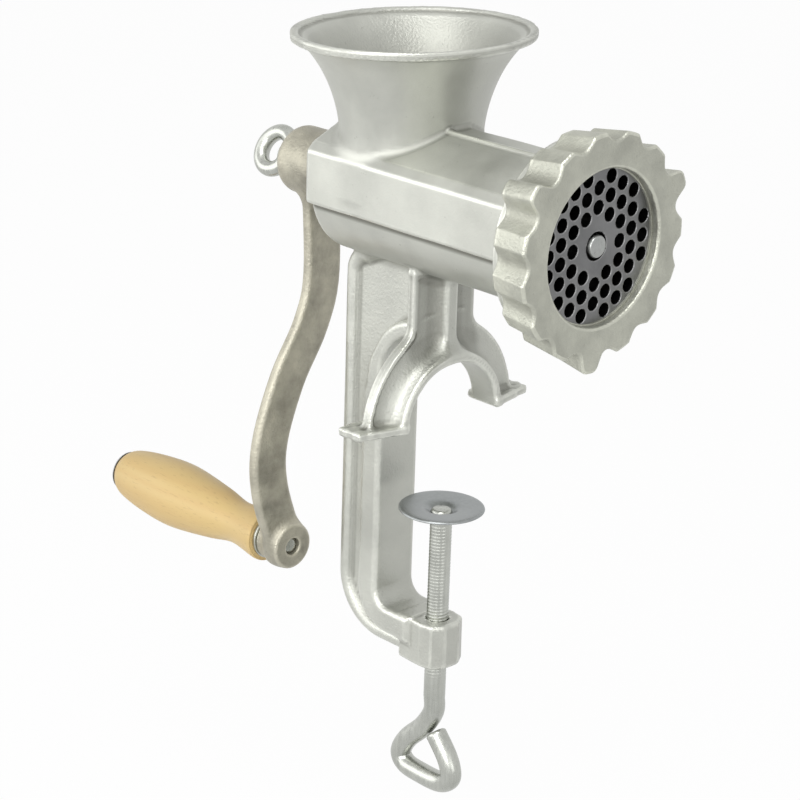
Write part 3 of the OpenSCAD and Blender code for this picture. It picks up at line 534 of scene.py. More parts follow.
def lines(*stretches):
    """Grid lines along an axis: each stretch has its start, its end and its own spacing."""
    parts = [np.linspace(a, b, max(2, round((b - a) / step) + 1)) for a, b, step in stretches]
    return np.concatenate([parts[0]] + [p[1:] for p in parts[1:]])


def weave(rows, columns, closed_rows):
    """Faces of a grid of points whose columns close on themselves, and whose rows may."""
    r = np.arange(rows if closed_rows else rows - 1)[:, None]
    c = np.arange(columns)[None, :]
    r1, c1 = (r + 1) % rows, (c + 1) % columns
    around = [r * columns + c, r * columns + c1, r1 * columns + c1, r1 * columns + c]
    return np.stack(around, -1).reshape(-1, 4)


def outward(mesh):
    """Turns a closed mesh's faces outwards, if the volume that they enclose comes out negative."""
    mesh.calc_loop_triangles()
    tri = np.empty(len(mesh.loop_triangles) * 3, np.int64)
    mesh.loop_triangles.foreach_get("vertices", tri)
    co = np.empty(len(mesh.vertices) * 3)
    mesh.vertices.foreach_get("co", co)
    a, b, c = co.reshape(-1, 3)[tri.reshape(-1, 3)].transpose(1, 0, 2)
    if np.einsum("ij,ij->i", a, np.cross(b, c)).sum() < 0:
        mesh.flip_normals()


def piece(name, points, faces, normals=None, crease=None, **marks):
    """A new object from points in millimetres. Faces are smooth, apart from creases sharper than the given
    angle, and each mark is a value at every point that its finish reads."""
    mesh = bpy.data.meshes.new(name)
    mesh.from_pydata((points * MM).tolist(), [], faces)
    mesh.validate()
    mesh.shade_smooth()
    if crease is not None:
        mesh.set_sharp_from_angle(angle=math.radians(crease))
    for key, value in marks.items():
        mark = mesh.attributes.new(key, "FLOAT", "POINT")
        mark.data.foreach_set("value", value.astype(np.float32))
    if normals is not None:
        mesh.normals_split_custom_set_from_vertices(normals.tolist())
    made = bpy.data.objects.new(name, mesh)
    bpy.context.scene.collection.objects.link(made)
    return made


def skinned_piece(name, field, xs, ys, zs, reach=0.9, rubbed=None, dull_and_painted_shade=None):
    """A piece whose surface is where a field is zero, with the field's slope as its shading. Two functions of
    place may say where it is rubbed smooth, and how far it is dull as a hollow is."""
    points, faces = skin(field, xs, ys, zs)
    slope = slope_of(field, points)
    slope /= np.linalg.norm(slope, axis=1)[:, None]
    marks = {"edge": sharpness(field, points, reach)}
    if rubbed:
        marks["rubbed"] = rubbed(*points.T)
    # Painted shade: the mark lowers the edge value, so the finish darkens the place as a hollow
    if dull_and_painted_shade:
        marks["edge"] = marks["edge"] - dull_and_painted_shade(*points.T)
    return piece(name, points, faces.tolist(), slope, **marks)


def boxed_piece(name, field, box, margin, steps, reach):
    """A skinned piece on an even grid round a frame part's box, with a step along each axis."""
    low, high = box[0] - margin, box[1] + margin
    axes = [lines((low[n], high[n], steps[n])) for n in range(3)]
    return skinned_piece(name, field, *axes, reach)


def angles(sides):
    """Equal steps round a circle, in radians."""
    return np.linspace(0, 2 * np.pi, sides, endpoint=False)


def rings_piece(name, rings, crease, closed=False, **marks):
    """A piece from a grid of points with one ring a row. Its rows close on themselves too, or its first and
    last rings get flat caps."""
    rows, columns = rings.shape[:2]
    faces = weave(rows, columns, closed).tolist()
    if not closed:
        first, last = np.arange(rows * columns).reshape(rows, columns)[[0, -1]].tolist()
        faces += [first[::-1], last]
    made = piece(name, rings.reshape(-1, 3), faces, crease=crease, **marks)
    outward(made.data)
    return made


def rings_round(rows, sides, centre=(0, 0, AXIS_Z)):
    """Rings of points round a line along X, from each ring's place along it and its radius, which may change
    round the ring."""
    angle = angles(sides)
    radii = np.array([np.broadcast_to(radius, sides) for _, radius in rows], float)
    along = np.repeat([[place] for place, _ in rows], sides, 1)
    return np.stack([along, radii * np.cos(angle), radii * np.sin(angle)], -1) + np.array(centre, float)


def turned_piece(name, profile, centre, sides=72, closed=True, upright=False):
    """A turned piece: its profile's places and radii carried round a line along X, or along Z if it stands
    upright. A closed profile is a ring's section, and any other's ends get flat caps."""
    rings = rings_round(profile, sides, (0, 0, 0))
    if upright:
        rings = rings[..., [1, 2, 0]]
    return rings_piece(name, rings + np.array(centre, float), 40, closed)


def eased(points, radius, steps=4):
    """An outline with its inner corners rounded: each corner is a parabola between points set back from it by
    the radius or, where the sides are short, by half a side."""
    p = np.array(points, float)
    out = [p[:1]]
    t = np.linspace(0, 1, steps + 1)[:, None]
    for a, b, c in zip(p[:-2], p[1:-1], p[2:]):
        la, lc = np.linalg.norm(a - b), np.linalg.norm(c - b)
        start = b + (a - b) * min(radius, la / 2) / la
        end = b + (c - b) * min(radius, lc / 2) / lc
        out.append((1 - t) ** 2 * start + 2 * t * (1 - t) * b + t ** 2 * end)
    return np.vstack(out + [p[-1:]])


def flat_washer(name, box, hole, centre=(0, 0, AXIS_Z)):
    """A flat washer with eased edges, in a frame part's place."""
    back, front = box[0][0], box[1][0]
    outer = (box[1][1] - box[0][1]) / 2
    middle = (outer + hole) / 2
    section = eased([(back, middle), (back, outer), (front, outer), (front, hole), (back, hole),
                     (back, middle)], 0.3)
    return turned_piece(name, section[:-1], centre)


def square_round(half, corner, sides):
    """Radius at each angle round a square, from its half side, with its corners cut at a share of that."""
    angle = angles(sides)
    return np.minimum(half / np.maximum(np.abs(np.cos(angle)), np.abs(np.sin(angle))), half * corner)


def swept_piece(name, path, radius, sides, side_axis):
    """A rod along a flat path: each ring stands square to the path, with the plane's normal as one of its
    axes, and the radius may change along the path and round the ring."""
    heading = np.gradient(path, axis=0)
    heading /= np.linalg.norm(heading, axis=1)[:, None]
    flat = np.array(side_axis, float)
    across = np.cross(heading, flat)
    angle = angles(sides)
    ring = np.cos(angle)[None, :, None] * across[:, None, :] + np.sin(angle)[None, :, None] * flat
    return rings_piece(name, path[:, None, :] + radius[:, :, None] * ring, 50)


def place(made, body, slot, finish_name, *parts):
    """Sets a piece on its body, with its finish and the frame parts that it stands for."""
    made.data.materials.append(bpy.data.materials[finish_name])
    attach(made, body)
    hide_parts(*parts)


def dress(part, finish_name):
    """Gives a frame part its finish."""
    slots = frame["nodes"][part].data.materials
    slots.clear()
    slots.append(bpy.data.materials[finish_name])


# Finishes


def node(tree, kind, inputs=None, **settings):
    """A shader node with its settings, and with its inputs set or linked."""
    made = tree.nodes.new(kind)
    for key, value in settings.items():
        setattr(made, key, value)
    for key, value in (inputs or {}).items():
        if isinstance(value, bpy.types.NodeSocket):
            tree.links.new(value, made.inputs[key])
        else:
            made.inputs[key].default_value = value
    return made


def ramp(tree, value, low, high, start=0.0, end=1.0):
    """A value moved evenly from one span to another, and held at its ends."""
    spans = {"Value": value, "From Min": low, "From Max": high, "To Min": start, "To Max": end}
    return node(tree, "ShaderNodeMapRange", spans).outputs["Result"]


def mix(tree, factor, a, b):
    """Two colours mixed by a factor."""
    return node(tree, "ShaderNodeMix", {0: factor, 6: a, 7: b}, data_type="RGBA").outputs[2]


def sum_of(tree, a, b, operation="ADD"):
    """Two values added, or worked on by another operation."""
    return node(tree, "ShaderNodeMath", {0: a, 1: b}, operation=operation).outputs[0]


def times(tree, a, b):
    """Two values multiplied."""
    return sum_of(tree, a, b, "MULTIPLY")


def effect(name, inputs, outputs):
    """A new shader node group with its named sockets, the values that it is given and those it puts out."""
    tree = bpy.data.node_groups.new(name, "ShaderNodeTree")
    for key, value in inputs.items():
        made = tree.interface.new_socket(key, in_out="INPUT", socket_type="NodeSocketFloat")
        made.default_value = value
    for key in outputs:
        tree.interface.new_socket(key, in_out="OUTPUT", socket_type="NodeSocketFloat")
    return tree, tree.nodes.new("NodeGroupInput").outputs, tree.nodes.new("NodeGroupOutput").inputs


def noise(tree, vector, scale, detail, roughness):
    """Noise at a scale, in waves per metre."""
    inputs = {"Vector": vector, "Scale": scale, "Detail": detail, "Roughness": roughness}
    return node(tree, "ShaderNodeTexNoise", inputs).outputs["Fac"]


def link(tree, inputs, **values):
    """Links values to named inputs, whose spaces are spelt as underscores."""
    for key, value in values.items():
        tree.links.new(value, inputs[key.replace("_", " ")])


def place_on(tree):
    """The place on the piece, in metres."""
    return node(tree, "ShaderNodeTexCoord").outputs["Object"]


def mark_on(tree, name):
    """A mark that the mesh carries at its points."""
    return node(tree, "ShaderNodeAttribute", attribute_name=name).outputs["Fac"]


def stretched(tree, vector, scale):
    """A place drawn out or pressed together along each axis."""
    return node(tree, "ShaderNodeVectorMath", {0: vector, 1: scale}, operation="MULTIPLY").outputs[0]


def cast_skin():
    """Skin of a sand casting: slow blotches, a fine grain and scattered pits, from noise at three scales. The
    grain is weaker where the surface is marked as rubbed."""
    tree, given, result = effect("Cast skin", {"Grain": 1100.0, "Blotch": 38.0}, ("Tone", "Height", "Pits"))
    at = place_on(tree)
    slow = noise(tree, at, given["Blotch"], 5.0, 0.62)
    middle = noise(tree, at, 260.0, 3.0, 0.6)
    fine = noise(tree, at, given["Grain"], 2.0, 0.6)
    grain = sum_of(tree, times(tree, middle, 0.3), fine)
    left = ramp(tree, mark_on(tree, "rubbed"), 0, 1, 1.0, 0.2)
    pits = ramp(tree, times(tree, fine, middle), 0.40, 0.47)
    link(tree, result, Tone=ramp(tree, slow, 0.32, 0.68), Height=times(tree, grain, left), Pits=pits)
    return tree


def worn_edges_and_painted_light():
    """Masks of the edges, where a surface is rubbed bright, and of the hollows, where it stays dull. Both
    come from the surface's own turn, and noise breaks up the edges."""
    tree, given, result = effect("Worn edges", {"Edge": 0.09, "Hollow": 0.12}, ("Edge", "Hollow"))
    turn = mark_on(tree, "edge")
    broken = ramp(tree, noise(tree, place_on(tree), 180.0, 4.0, 0.65), 0.25, 0.7, 0.35, 1.0)
    edge = ramp(tree, turn, 0.02, given["Edge"])
    hollow = ramp(tree, times(tree, turn, -1.0), 0.02, given["Hollow"])
    link(tree, result, Edge=times(tree, edge, broken), Hollow=hollow)
    return tree


def drawn_marks():
    """Fine marks along one direction, from noise that is stretched along it, for drawn rod and ground
    plate."""
    tree, given, result = effect("Drawn marks", {"Along": 30.0, "Across": 2400.0}, ("Tone", "Height"))
    at = place_on(tree)
    across, along = given["Across"], given["Along"]
    scale = node(tree, "ShaderNodeCombineXYZ", {"X": across, "Y": across, "Z": along}).outputs[0]
    marks = noise(tree, stretched(tree, at, scale), 1.0, 4.0, 0.6)
    slow = noise(tree, at, 90.0, 4.0, 0.6)
    link(tree, result, Tone=ramp(tree, sum_of(tree, marks, slow), 0.75, 1.25), Height=marks)
    return tree


def wood_figure():
    """Figure of turned beech: growth lines that run along the handle, from a sine that drifts with noise, and
    short dark flecks between them."""
    tree, given, result = effect("Wood figure", {"Lines": 95.0}, ("Line", "Fleck"))
    at = place_on(tree)
    along = stretched(tree, at, (0.09, 1.0, 1.0))
    drift = noise(tree, along, 60.0, 3.0, 0.5)
    turn = node(tree, "ShaderNodeMapping", {"Vector": along, "Rotation": (0.5, 0.0, 0.0)}).outputs[0]
    height = node(tree, "ShaderNodeSeparateXYZ", {0: turn}).outputs["Z"]
    run = sum_of(tree, times(tree, height, given["Lines"]), times(tree, drift, 3.2))
    wave = sum_of(tree, times(tree, run, 2 * math.pi), 0.0, "SINE")
    fleck = noise(tree, stretched(tree, at, (0.14, 1.0, 1.0)), 1500.0, 2.0, 0.5)
    link(tree, result, Line=ramp(tree, wave, -1.0, 1.0), Fleck=ramp(tree, fleck, 0.60, 0.70))
    return tree


def group_in(tree, made, **inputs):
    """The outputs of a node group that is placed in a material with its own values."""
    return node(tree, "ShaderNodeGroup", inputs, node_tree=made).outputs


def finish(name, metallic, **sockets):
    """Makes a new material, and gives its node tree and its Principled shader. Sockets that are the same all
    over are set on it directly."""
    made = bpy.data.materials.new(name)
    made.use_nodes = True
    tree = made.node_tree
    shader = tree.nodes["Principled BSDF"]
    shader.inputs["Metallic"].default_value = metallic
    for key, value in sockets.items():
        shader.inputs[key.replace("_", " ")].default_value = value
    return tree, shader


def surface(tree, shader, base, roughness, height, strength, distance):
    """Links a surface's colour, its roughness and the relief of a height to a shader."""
    relief = node(tree, "ShaderNodeBump", {"Height": height, "Strength": strength, "Distance": distance})
    link(tree, shader.inputs, Base_Color=base, Roughness=roughness, Normal=relief.outputs["Normal"])


def shade(colour, factor=1.0):
    """A colour made paler or deeper by a factor, with its alpha."""
    return (*(min(1.0, c * factor) for c in colour), 1.0)


def cast_metal(name, colour, hollow, effects, rough=(0.26, 0.50), grain=1100.0, relief=0.5, patchy=0.09,
               blotch=45.0):
    """Cast metal: blotchy tone, dull hollows, edges rubbed brighter, and a sandy grain."""
    tree, shader = finish(name, 0.75)
    cast = group_in(tree, effects["cast"], Grain=grain, Blotch=blotch)
    worn = group_in(tree, effects["worn"])
    base = mix(tree, cast["Tone"], shade(colour, 1 - patchy), shade(colour, 1 + patchy))
    base = mix(tree, times(tree, cast["Pits"], 0.35), base, shade(hollow))
    # Painted shade: the hollows take the darker colour
    base = mix(tree, worn["Hollow"], base, shade(hollow))
    # Edges rubbed brighter, with a painted highlight
    base = mix(tree, times(tree, worn["Edge"], 0.75), base, shade(colour, 1.5))
    dullness = sum_of(tree, cast["Tone"], times(tree, worn["Hollow"], 2.0))
    polish = ramp(tree, sum_of(tree, dullness, worn["Edge"], "SUBTRACT"), -0.6, 1.0, *rough)
    surface(tree, shader, base, polish, cast["Height"], relief, 0.0004)


def plated_steel(name, colour, dull_and_painted_shade, effects, rough=(0.22, 0.38), along=30.0):
    """Zinc-plated or ground steel: fine drawn marks in its tone and gloss, duller in the hollows."""
    tree, shader = finish(name, 1.0)
    marks = group_in(tree, effects["drawn"], Along=along, Across=900.0)
    worn = group_in(tree, effects["worn"])
    base = mix(tree, marks["Tone"], shade(colour, 0.86), shade(colour, 1.12))
    # Painted shade in the hollows
    base = mix(tree, worn["Hollow"], base, shade(dull_and_painted_shade))
    polish = ramp(tree, marks["Tone"], 0.0, 1.0, *rough)
    surface(tree, shader, base, polish, marks["Height"], 0.008, 0.0001)


def dark_plate(name, colour, rubbed, effects):
    """Hardened plate: dark, with a fine ground surface and paler rubbed patches."""
    tree, shader = finish(name, 1.0)
    cast = group_in(tree, effects["cast"], Grain=1600.0, Blotch=60.0)
    worn = group_in(tree, effects["worn"])
    base = mix(tree, times(tree, cast["Tone"], 0.5), shade(colour), shade(rubbed))
    # Edges rubbed paler, with a painted highlight
    base = mix(tree, times(tree, worn["Edge"], 0.6), base, shade(rubbed, 1.3))
    # Painted shade in the hollows, close to black
    base = mix(tree, worn["Hollow"], base, shade(colour, 0.12))
    polish = ramp(tree, cast["Tone"], 0.0, 1.0, 0.36, 0.5)
    surface(tree, shader, base, polish, cast["Height"], 0.15, 0.0002)


def turned_beech(name, colour, line, effects):
    """Turned beech with a thin wax finish."""
    tree, shader = finish(name, 0.0, Coat_Weight=0.12, Coat_Roughness=0.35)
    wood = group_in(tree, effects["wood"])
    cast = group_in(tree, effects["cast"], Blotch=22.0)
    base = mix(tree, times(tree, wood["Line"], 0.34), shade(colour), shade(line))
    base = mix(tree, times(tree, wood["Fleck"], 0.42), base, shade(line, 0.72))
    base = mix(tree, times(tree, cast["Tone"], 0.16), base, shade(line))
    polish = ramp(tree, wood["Line"], 0.0, 1.0, 0.42, 0.54)
    surface(tree, shader, base, polish, sum_of(tree, wood["Fleck"], wood["Line"]), 0.08, 0.0003)


def dull_moulding(name, colour, effects, rough):
    """A moulded or pressed bearing material, faintly mottled."""
    tree, shader = finish(name, 0.0)
    cast = group_in(tree, effects["cast"], Grain=900.0)
    base = mix(tree, cast["Tone"], shade(colour), shade(colour, 0.82))
    polish = ramp(tree, cast["Tone"], 0.0, 1.0, rough, rough + 0.12)
    surface(tree, shader, base, polish, cast["Height"], 0.1, 0.0003)


def make_finishes(c):
    """All the finishes, from their colours, with their shared effects built once."""
    # The edge and hollow masks give rubbed edges with painted highlights, and painted shade in hollows
    effects = {"cast": cast_skin(), "worn": worn_edges_and_painted_light(), "drawn": drawn_marks(), "wood": wood_figure()}
    cast_metal("Tinned iron", c.tin, c.tin_dark, effects)
    cast_metal("Ring iron", c.ring, c.ring_dark, effects, (0.30, 0.54), 900.0, 0.7, 0.18, 60.0)
    cast_metal("Crank iron", c.crank, c.crank_dark, effects, (0.36, 0.56), 1000.0, 0.7, 0.34, 75.0)
    plated_steel("Zinc-plated steel", c.zinc, c.zinc_dark, effects)
    plated_steel("Zinc-plated pad", c.zinc_dark, c.zinc_dark, effects, (0.3, 0.45), 400.0)
    plated_steel("Ground steel", c.bright, c.zinc_dark, effects, (0.25, 0.4), 600.0)
    dark_plate("Hardened steel", c.dark, c.dark_worn, effects)
    turned_beech("Turned beech", c.beech, c.beech_line, effects)
    dull_moulding("Bush plastic", c.bush, effects, 0.4)
    dull_moulding("Thrust fibre", c.fibre, effects, 0.6)


# Body casting


def hopper_oval(s, x, y):
    """Mean radius of the oval through a place in the hopper's plan, and that radius's slope across the
    oval."""
    centre = s.neck * s.oval_along + s.neck_inset - s.barrel_back
    u, v = (x - centre) / s.oval_along, y / s.oval_across
    mean = np.maximum(np.hypot(u, v), 1e-6)
    return mean, np.hypot(u / s.oval_along, v / s.oval_across) / mean


def hopper_wall(s, x, y, z, inset):
    """Distance to the hopper's oval form, set inwards by the inset: the mean radius is a straight slope plus
    a cube of the height above the neck, which starts gently, and the distance is divided by that radius's
    slope."""
    rise = BODY[1][2] - AXIS_Z - s.neck_height
    cubic = (s.rim - s.neck - s.flare * rise) / rise ** 3
    above = z - AXIS_Z - s.neck_height
    h = (above + np.sqrt(above ** 2 + 2 * s.fillet ** 2)) / 2
    radius = s.neck + s.flare * h + cubic * h ** 3 - inset
    lean = np.where(above > 0, s.flare + 3 * cubic * h ** 2, 0)
    mean, scale = hopper_oval(s, x, y)
    return (mean - radius) / np.sqrt(scale ** 2 + lean ** 2)


def hopper_rim(s, x, y, z):
    """Distance to the band with round corners along the hopper's rim, with shallow dents round its
    outside."""
    mean, scale = hopper_oval(s, x, y)
    top = BODY[1][2] - 1.5 * s.lumps
    band = 2 * s.rim_bead
    dents = s.knocks * np.maximum(np.sin(x / 2.9 + y / 7) * np.sin(y / 3.7 - x / 5), 0) ** 2
    return round_box((mean - s.rim) / scale + dents, z, (-band, top - band), (0, top), 0.55 * s.rim_bead)


def barrel(s, x, y, z):
    """The barrel's roofed outline over a round underside, carried along X and eased at its rear end."""
    up = z - AXIS_Z
    sides = [(-s.half_width, -s.side_bottom), (s.half_width, -s.side_bottom), (s.half_width, s.side_top),
             (s.half_width - s.bevel, s.side_top + s.bevel), (s.crown_width / 2, s.crown)]
    corners_in = drawn_in(sides + [(-u, v) for u, v in reversed(sides[2:])], s.barrel_round)
    roof = outline(y, up, corners_in) - s.barrel_round
    flat = np.minimum(roof, np.hypot(y, up) - s.under)
    return carried(flat, within(x, -s.barrel_back, s.head_back + s.small_fillet), s.small_fillet)


def saddle(s, x, y, z):
    """The pillar and the two legs: a half ring that stands on the table and a plate above it, with a middle
    rib, a flange under the arch, a fine border along the near legs and two feet. Broad fillets make the plate
    hollow, and slow waves knock the feet."""
    r = np.hypot(y, z)
    wide = np.abs(y)
    top = AXIS_Z - s.bore - 1
    low = s.arch + s.arch_thick / 2
    front = s.pillar_thick - s.pillar_back
    legs = within(r, s.arch, s.leg)
    plate = joined(legs, round_box(y, z, (-s.pillar, low), (s.pillar, top), SHARP), s.fillet)
    shape = carried(plate, within(x, -s.pillar_back, front), s.plate_edge)
    rib = carried(wide - s.rib_width / 2, within(z, low, top), SHARP)
    rib = carried(rib, within(x, front - 1, front + s.rib_rise), s.edge)
    shape = joined(shape, rib, 1.6 * s.fillet)
    arch = within(r, s.arch, s.arch + 0.7 * s.arch_thick)
    arch = carried(arch, within(x, -s.arch_back, s.arch_front), s.broad_edge)
    shape = joined(shape, arch, 2 * s.fillet)
    border = np.maximum(np.maximum(plate, -s.border_width - plate), y)
    rise = s.border_rise * np.clip((s.leg - z) / s.border_fade, 0, 1)
    border = carried(border, within(x, front - 1, front + rise), s.fine_edge)
    shape = joined(shape, border, s.fine_edge)
    foot = outline(x, wide, [(-s.foot_back, s.arch), (s.arch_front + s.foot_step, s.arch),
                             (s.arch_front - s.foot_taper, s.foot_reach), (-s.foot_back, s.foot_reach)])
    shape = joined(shape, carried(foot, within(z, 0, s.foot_thick), s.edge), s.small_fillet)
    knocked = s.knocks * np.clip((wide - s.leg) / 3 + 1, 0, 1)
    shape = shape + knocked * np.sin(x + 0.3 * y) * np.sin(0.8 * y - 0.4 * x + 1)
    return cut(cut(shape, z), np.maximum(r - s.arch, -z - 1), s.arch_ease)


def frame_bends(s):
    """The frame's top, and the centres of its lower and upper rear corners."""
    top = AXIS_Z - s.under + s.frame_sink
    low_at = (s.corner - s.frame_back, BODY[0][2] + s.corner)
    return top, low_at, (s.shoulder - s.frame_back, top - s.shoulder)


def bead_line(s, x, z):
    """Distance in the frame's plane to the middle line of the bead along its back."""
    top, low_at, top_at = frame_bends(s)
    half = s.bead_depth / 2
    back, low = half - s.frame_back, half + BODY[0][2]
    return np.minimum.reduce([
        stretch(x, z, (back, low_at[1]), (back, top_at[1])),
        bend_line(x, z, low_at, s.corner - half, True),
        bend_line(x, z, top_at, s.shoulder - half, False),
        stretch(x, z, (low_at[0], low), (-s.boss_rear, low)),
        stretch(x, z, (top_at[0], top - half), (top_at[0] + s.shoulder, top + half)),
    ])


def frame_panel(s, x, z):
    """Distance in the frame's plane to the outline that the bead's middle line runs round."""
    top, low_at, _ = frame_bends(s)
    half = s.bead_depth / 2
    panel = round_box(x, z, (half - s.frame_back, half + BODY[0][2]), (FAR, top), s.shoulder - half)
    bend = np.hypot(x - low_at[0], z - low_at[1]) - s.corner + half
    return np.maximum(panel, np.where((x < low_at[0]) & (z < low_at[1]), bend, -FAR))


def screw_boss(s, x, y, z):
    """The clamp screw's boss at the end of the frame's lower arm, with a blunt nose."""
    half = s.boss_width / 2
    sides = [(-s.boss_rear, half - 1), (0, half), (s.boss_front - 3, half - 1), (s.boss_front, half - 5.5)]
    boss = outline(x, y, sides + [(u, -v) for u, v in reversed(sides)])
    return carried(boss, within(z, BODY[0][2], -s.arm_depth), s.broad_edge)


def clamp_frame(s, x, y, z):
    """The C-shaped frame: a bead along its back, a web, a flange that lines the throat, and the screw's
    boss."""
    half, wide = s.bead_depth / 2, s.bead_width / 2
    bead = round_box(bead_line(s, x, z), y, (-half, -wide), (half, wide), half - SHARP)
    lower = round_box(x, z, (-s.throat, -s.arm_depth), (FAR, FAR), s.throat_corner)
    upper = np.hypot(x + s.pillar_back, z - s.flange_top) - s.throat + s.pillar_back
    space = np.where(z < s.flange_top, lower, upper)
    end = np.where(z > 0, x + s.pillar_back - 1, x + s.boss_rear / 2)
    web = np.maximum(np.maximum(frame_panel(s, x, z), s.flange_upper / 2 - space), end)
    shape = joined(bead, carried(web, np.abs(y) - s.web / 2, s.fine_edge), 0.6 * s.small_fillet)
    thick = np.interp(z, [s.flange_top - 12, s.flange_top + 10], [s.flange_thick, s.flange_upper])
    lining = np.maximum(np.maximum(-space, space - thick), end)
    shape = joined(shape, carried(lining, np.abs(y) - s.flange_width / 2, s.flange_edge), s.small_fillet)
    return joined(shape, screw_boss(s, x, y, z), s.small_fillet)


def casting_forms(s, x, y, z):
    """Distance to the casting's forms, joined with fillets, before anything is taken out of them."""
    up = z - AXIS_Z
    r = np.hypot(y, up)
    boss = carried(r - s.boss, within(x, BODY[0][0], 0), s.edge)
    shape = joined(barrel(s, x, y, z), boss, s.small_fillet)
    wall = carried(hopper_wall(s, x, y, z, 0), within(z, AXIS_Z, BODY[1][2] - s.rim_bead), 0.3 * s.wall)
    wall = joined(wall, hopper_rim(s, x, y, z), 0.8 * s.small_fillet)
    shape = joined(shape, wall, np.interp(x, [-s.barrel_back, s.seam_start], [s.fillet, 0.6 * s.fillet]))
    seam = np.hypot(y + s.crown_width / 2, up - s.crown) - s.seam
    shape = joined(shape, carried(seam, within(x, s.seam_start, s.head_back)), 0.5 * s.small_fillet)
    turn = np.arctan2(up, y) / (2 * np.pi) + x / s.thread_pitch
    groove = np.where(x > RING[0][0], s.thread_depth * np.abs(2 * (turn % 1) - 1), 0)
    head = carried(r - s.head + groove, within(x, s.head_back, BODY[1][0]), 0.5)
    shape = joined(shape, head, s.small_fillet)
    shape = joined(shape, saddle(s, x, y, z), s.fillet)
    shape = joined(shape, clamp_frame(s, x, y, z), s.fillet)
    return shape + s.lumps * np.sin(x / 6.3 + 1) * np.sin(y / 5.7) * np.sin(z / 7.1)


def casting_field(s):
    """Distance to the body casting: its forms, less the bores and the inside of the hopper."""
    rear = s.rear_wall - s.barrel_back

    def field(x, y, z):
        r = np.hypot(y, z - AXIS_Z)
        shape = cut(casting_forms(s, x, y, z), carried(r - s.bore, within(x, rear, FAR)))
        shape = cut(shape, carried(r - s.chamber, within(x, s.chamber_back, FAR)))
        shape = cut(shape, carried(r - BUSH[1][1] - s.bush_fit, within(x, -FAR, rear)), 0.3)
        inside = hopper_wall(s, x, y, z, s.wall)
        shape = cut(shape, carried(inside, within(z, AXIS_Z + s.side_top / 2, FAR)), 1.6)
        hole = carried(np.hypot(x, y) - s.screw_hole, within(z, -FAR, 1 - s.arm_depth))
        return cut(shape, hole, 0.4)
    return field


def build_casting(s):
    """The body casting's skin, on a grid that is finer across the saddle's relief and the head's thread. The
    barrel and the hopper's outside are rubbed smooth, and sand shows inside the hopper and on the clamp
    frame. The hollow front of the pillar, the crease under the flat sides, the hopper's inside and its rim
    stay dull."""
    low, high = BODY[0] - 1.5, BODY[1] + 1.5

    def rubbed(x, y, z):
        outside = np.clip(hopper_wall(s, x, y, z, s.wall / 2) + 0.5, 0, 1)
        return np.where(z > AXIS_Z + s.crown, outside, np.clip((z - AXIS_Z + s.under + 4) / 4, 0.2, 1))

    # Painted shade on the pillar's hollow front and the hopper's inside, a darker band on the rim, and a
    # painted shadow in the crease under the flat sides; the finish also makes them rougher
    def dull_and_painted_shade(x, y, z):
        across = np.clip((s.pillar + s.fillet - np.abs(y)) / s.fillet, 0, 1)
        depth = np.clip(x + s.pillar_back, 0, 1) * np.clip((s.rib_rise / 2 - x) / 2, 0, 1)
        pillar = across * depth * np.clip((z - s.arch + 2) / 6, 0, 1) * (z < AXIS_Z - s.under + 2)
        inside = np.clip(0.5 - hopper_wall(s, x, y, z, s.wall / 2), 0, 1) * (z > AXIS_Z)
        # A darker, rougher band along the rim
        rim = np.clip(z - BODY[1][2] + 2 * s.rim_bead + 0.5, 0, 1)
        # Painted shadow in the crease under the ledge of the flat sides
        below = AXIS_Z - s.side_bottom - z
        beside = (np.abs(y) > s.bore) & (within(x, -s.barrel_back, s.head_back) < 0)
        crease = np.clip(2.6 - below, 0, 1) * ((below > 0) & beside)
        return s.dull_hollow * (pillar + inside) + s.dull_rim * rim * (1 - inside) + s.dull_crease * crease

    xs = lines((low[0], -11.5, 1.2), (-11.5, 5.5, 0.6), (5.5, 51, 1.25), (51, high[0], 0.6))
    ys = lines((low[1], high[1], 1.15))
    zs = lines((low[2], -2, 1.15), (-2, 44, 0.9), (44, high[2], 1.15))
    return skinned_piece("cast_body", casting_field(s), xs, ys, zs, rubbed=rubbed, dull_and_painted_shade=dull_and_painted_shade)


# Outlet


def ring_outline(s, angle):
    """Radius of the ring nut's outline: flat-topped lobes with hollows of a half cosine between them, and a
    flat-topped bump on each lug."""
    per_lug = 2 * np.pi * s.lug_step / s.lobes
    off = (angle - s.lug_angle + per_lug / 2) % per_lug - per_lug / 2
    step = np.abs((s.lobes * (angle - s.lug_angle) / (2 * np.pi) + 0.5) % 1 - 0.5)
    hollow = np.cos(np.pi * np.clip((0.5 - step) / (1 - s.lobe_flat), 0, 0.5))
    return s.valley + s.lobe_rise * (1 - hollow) + s.lug_rise * np.exp(-(off / s.lug_half) ** 4)


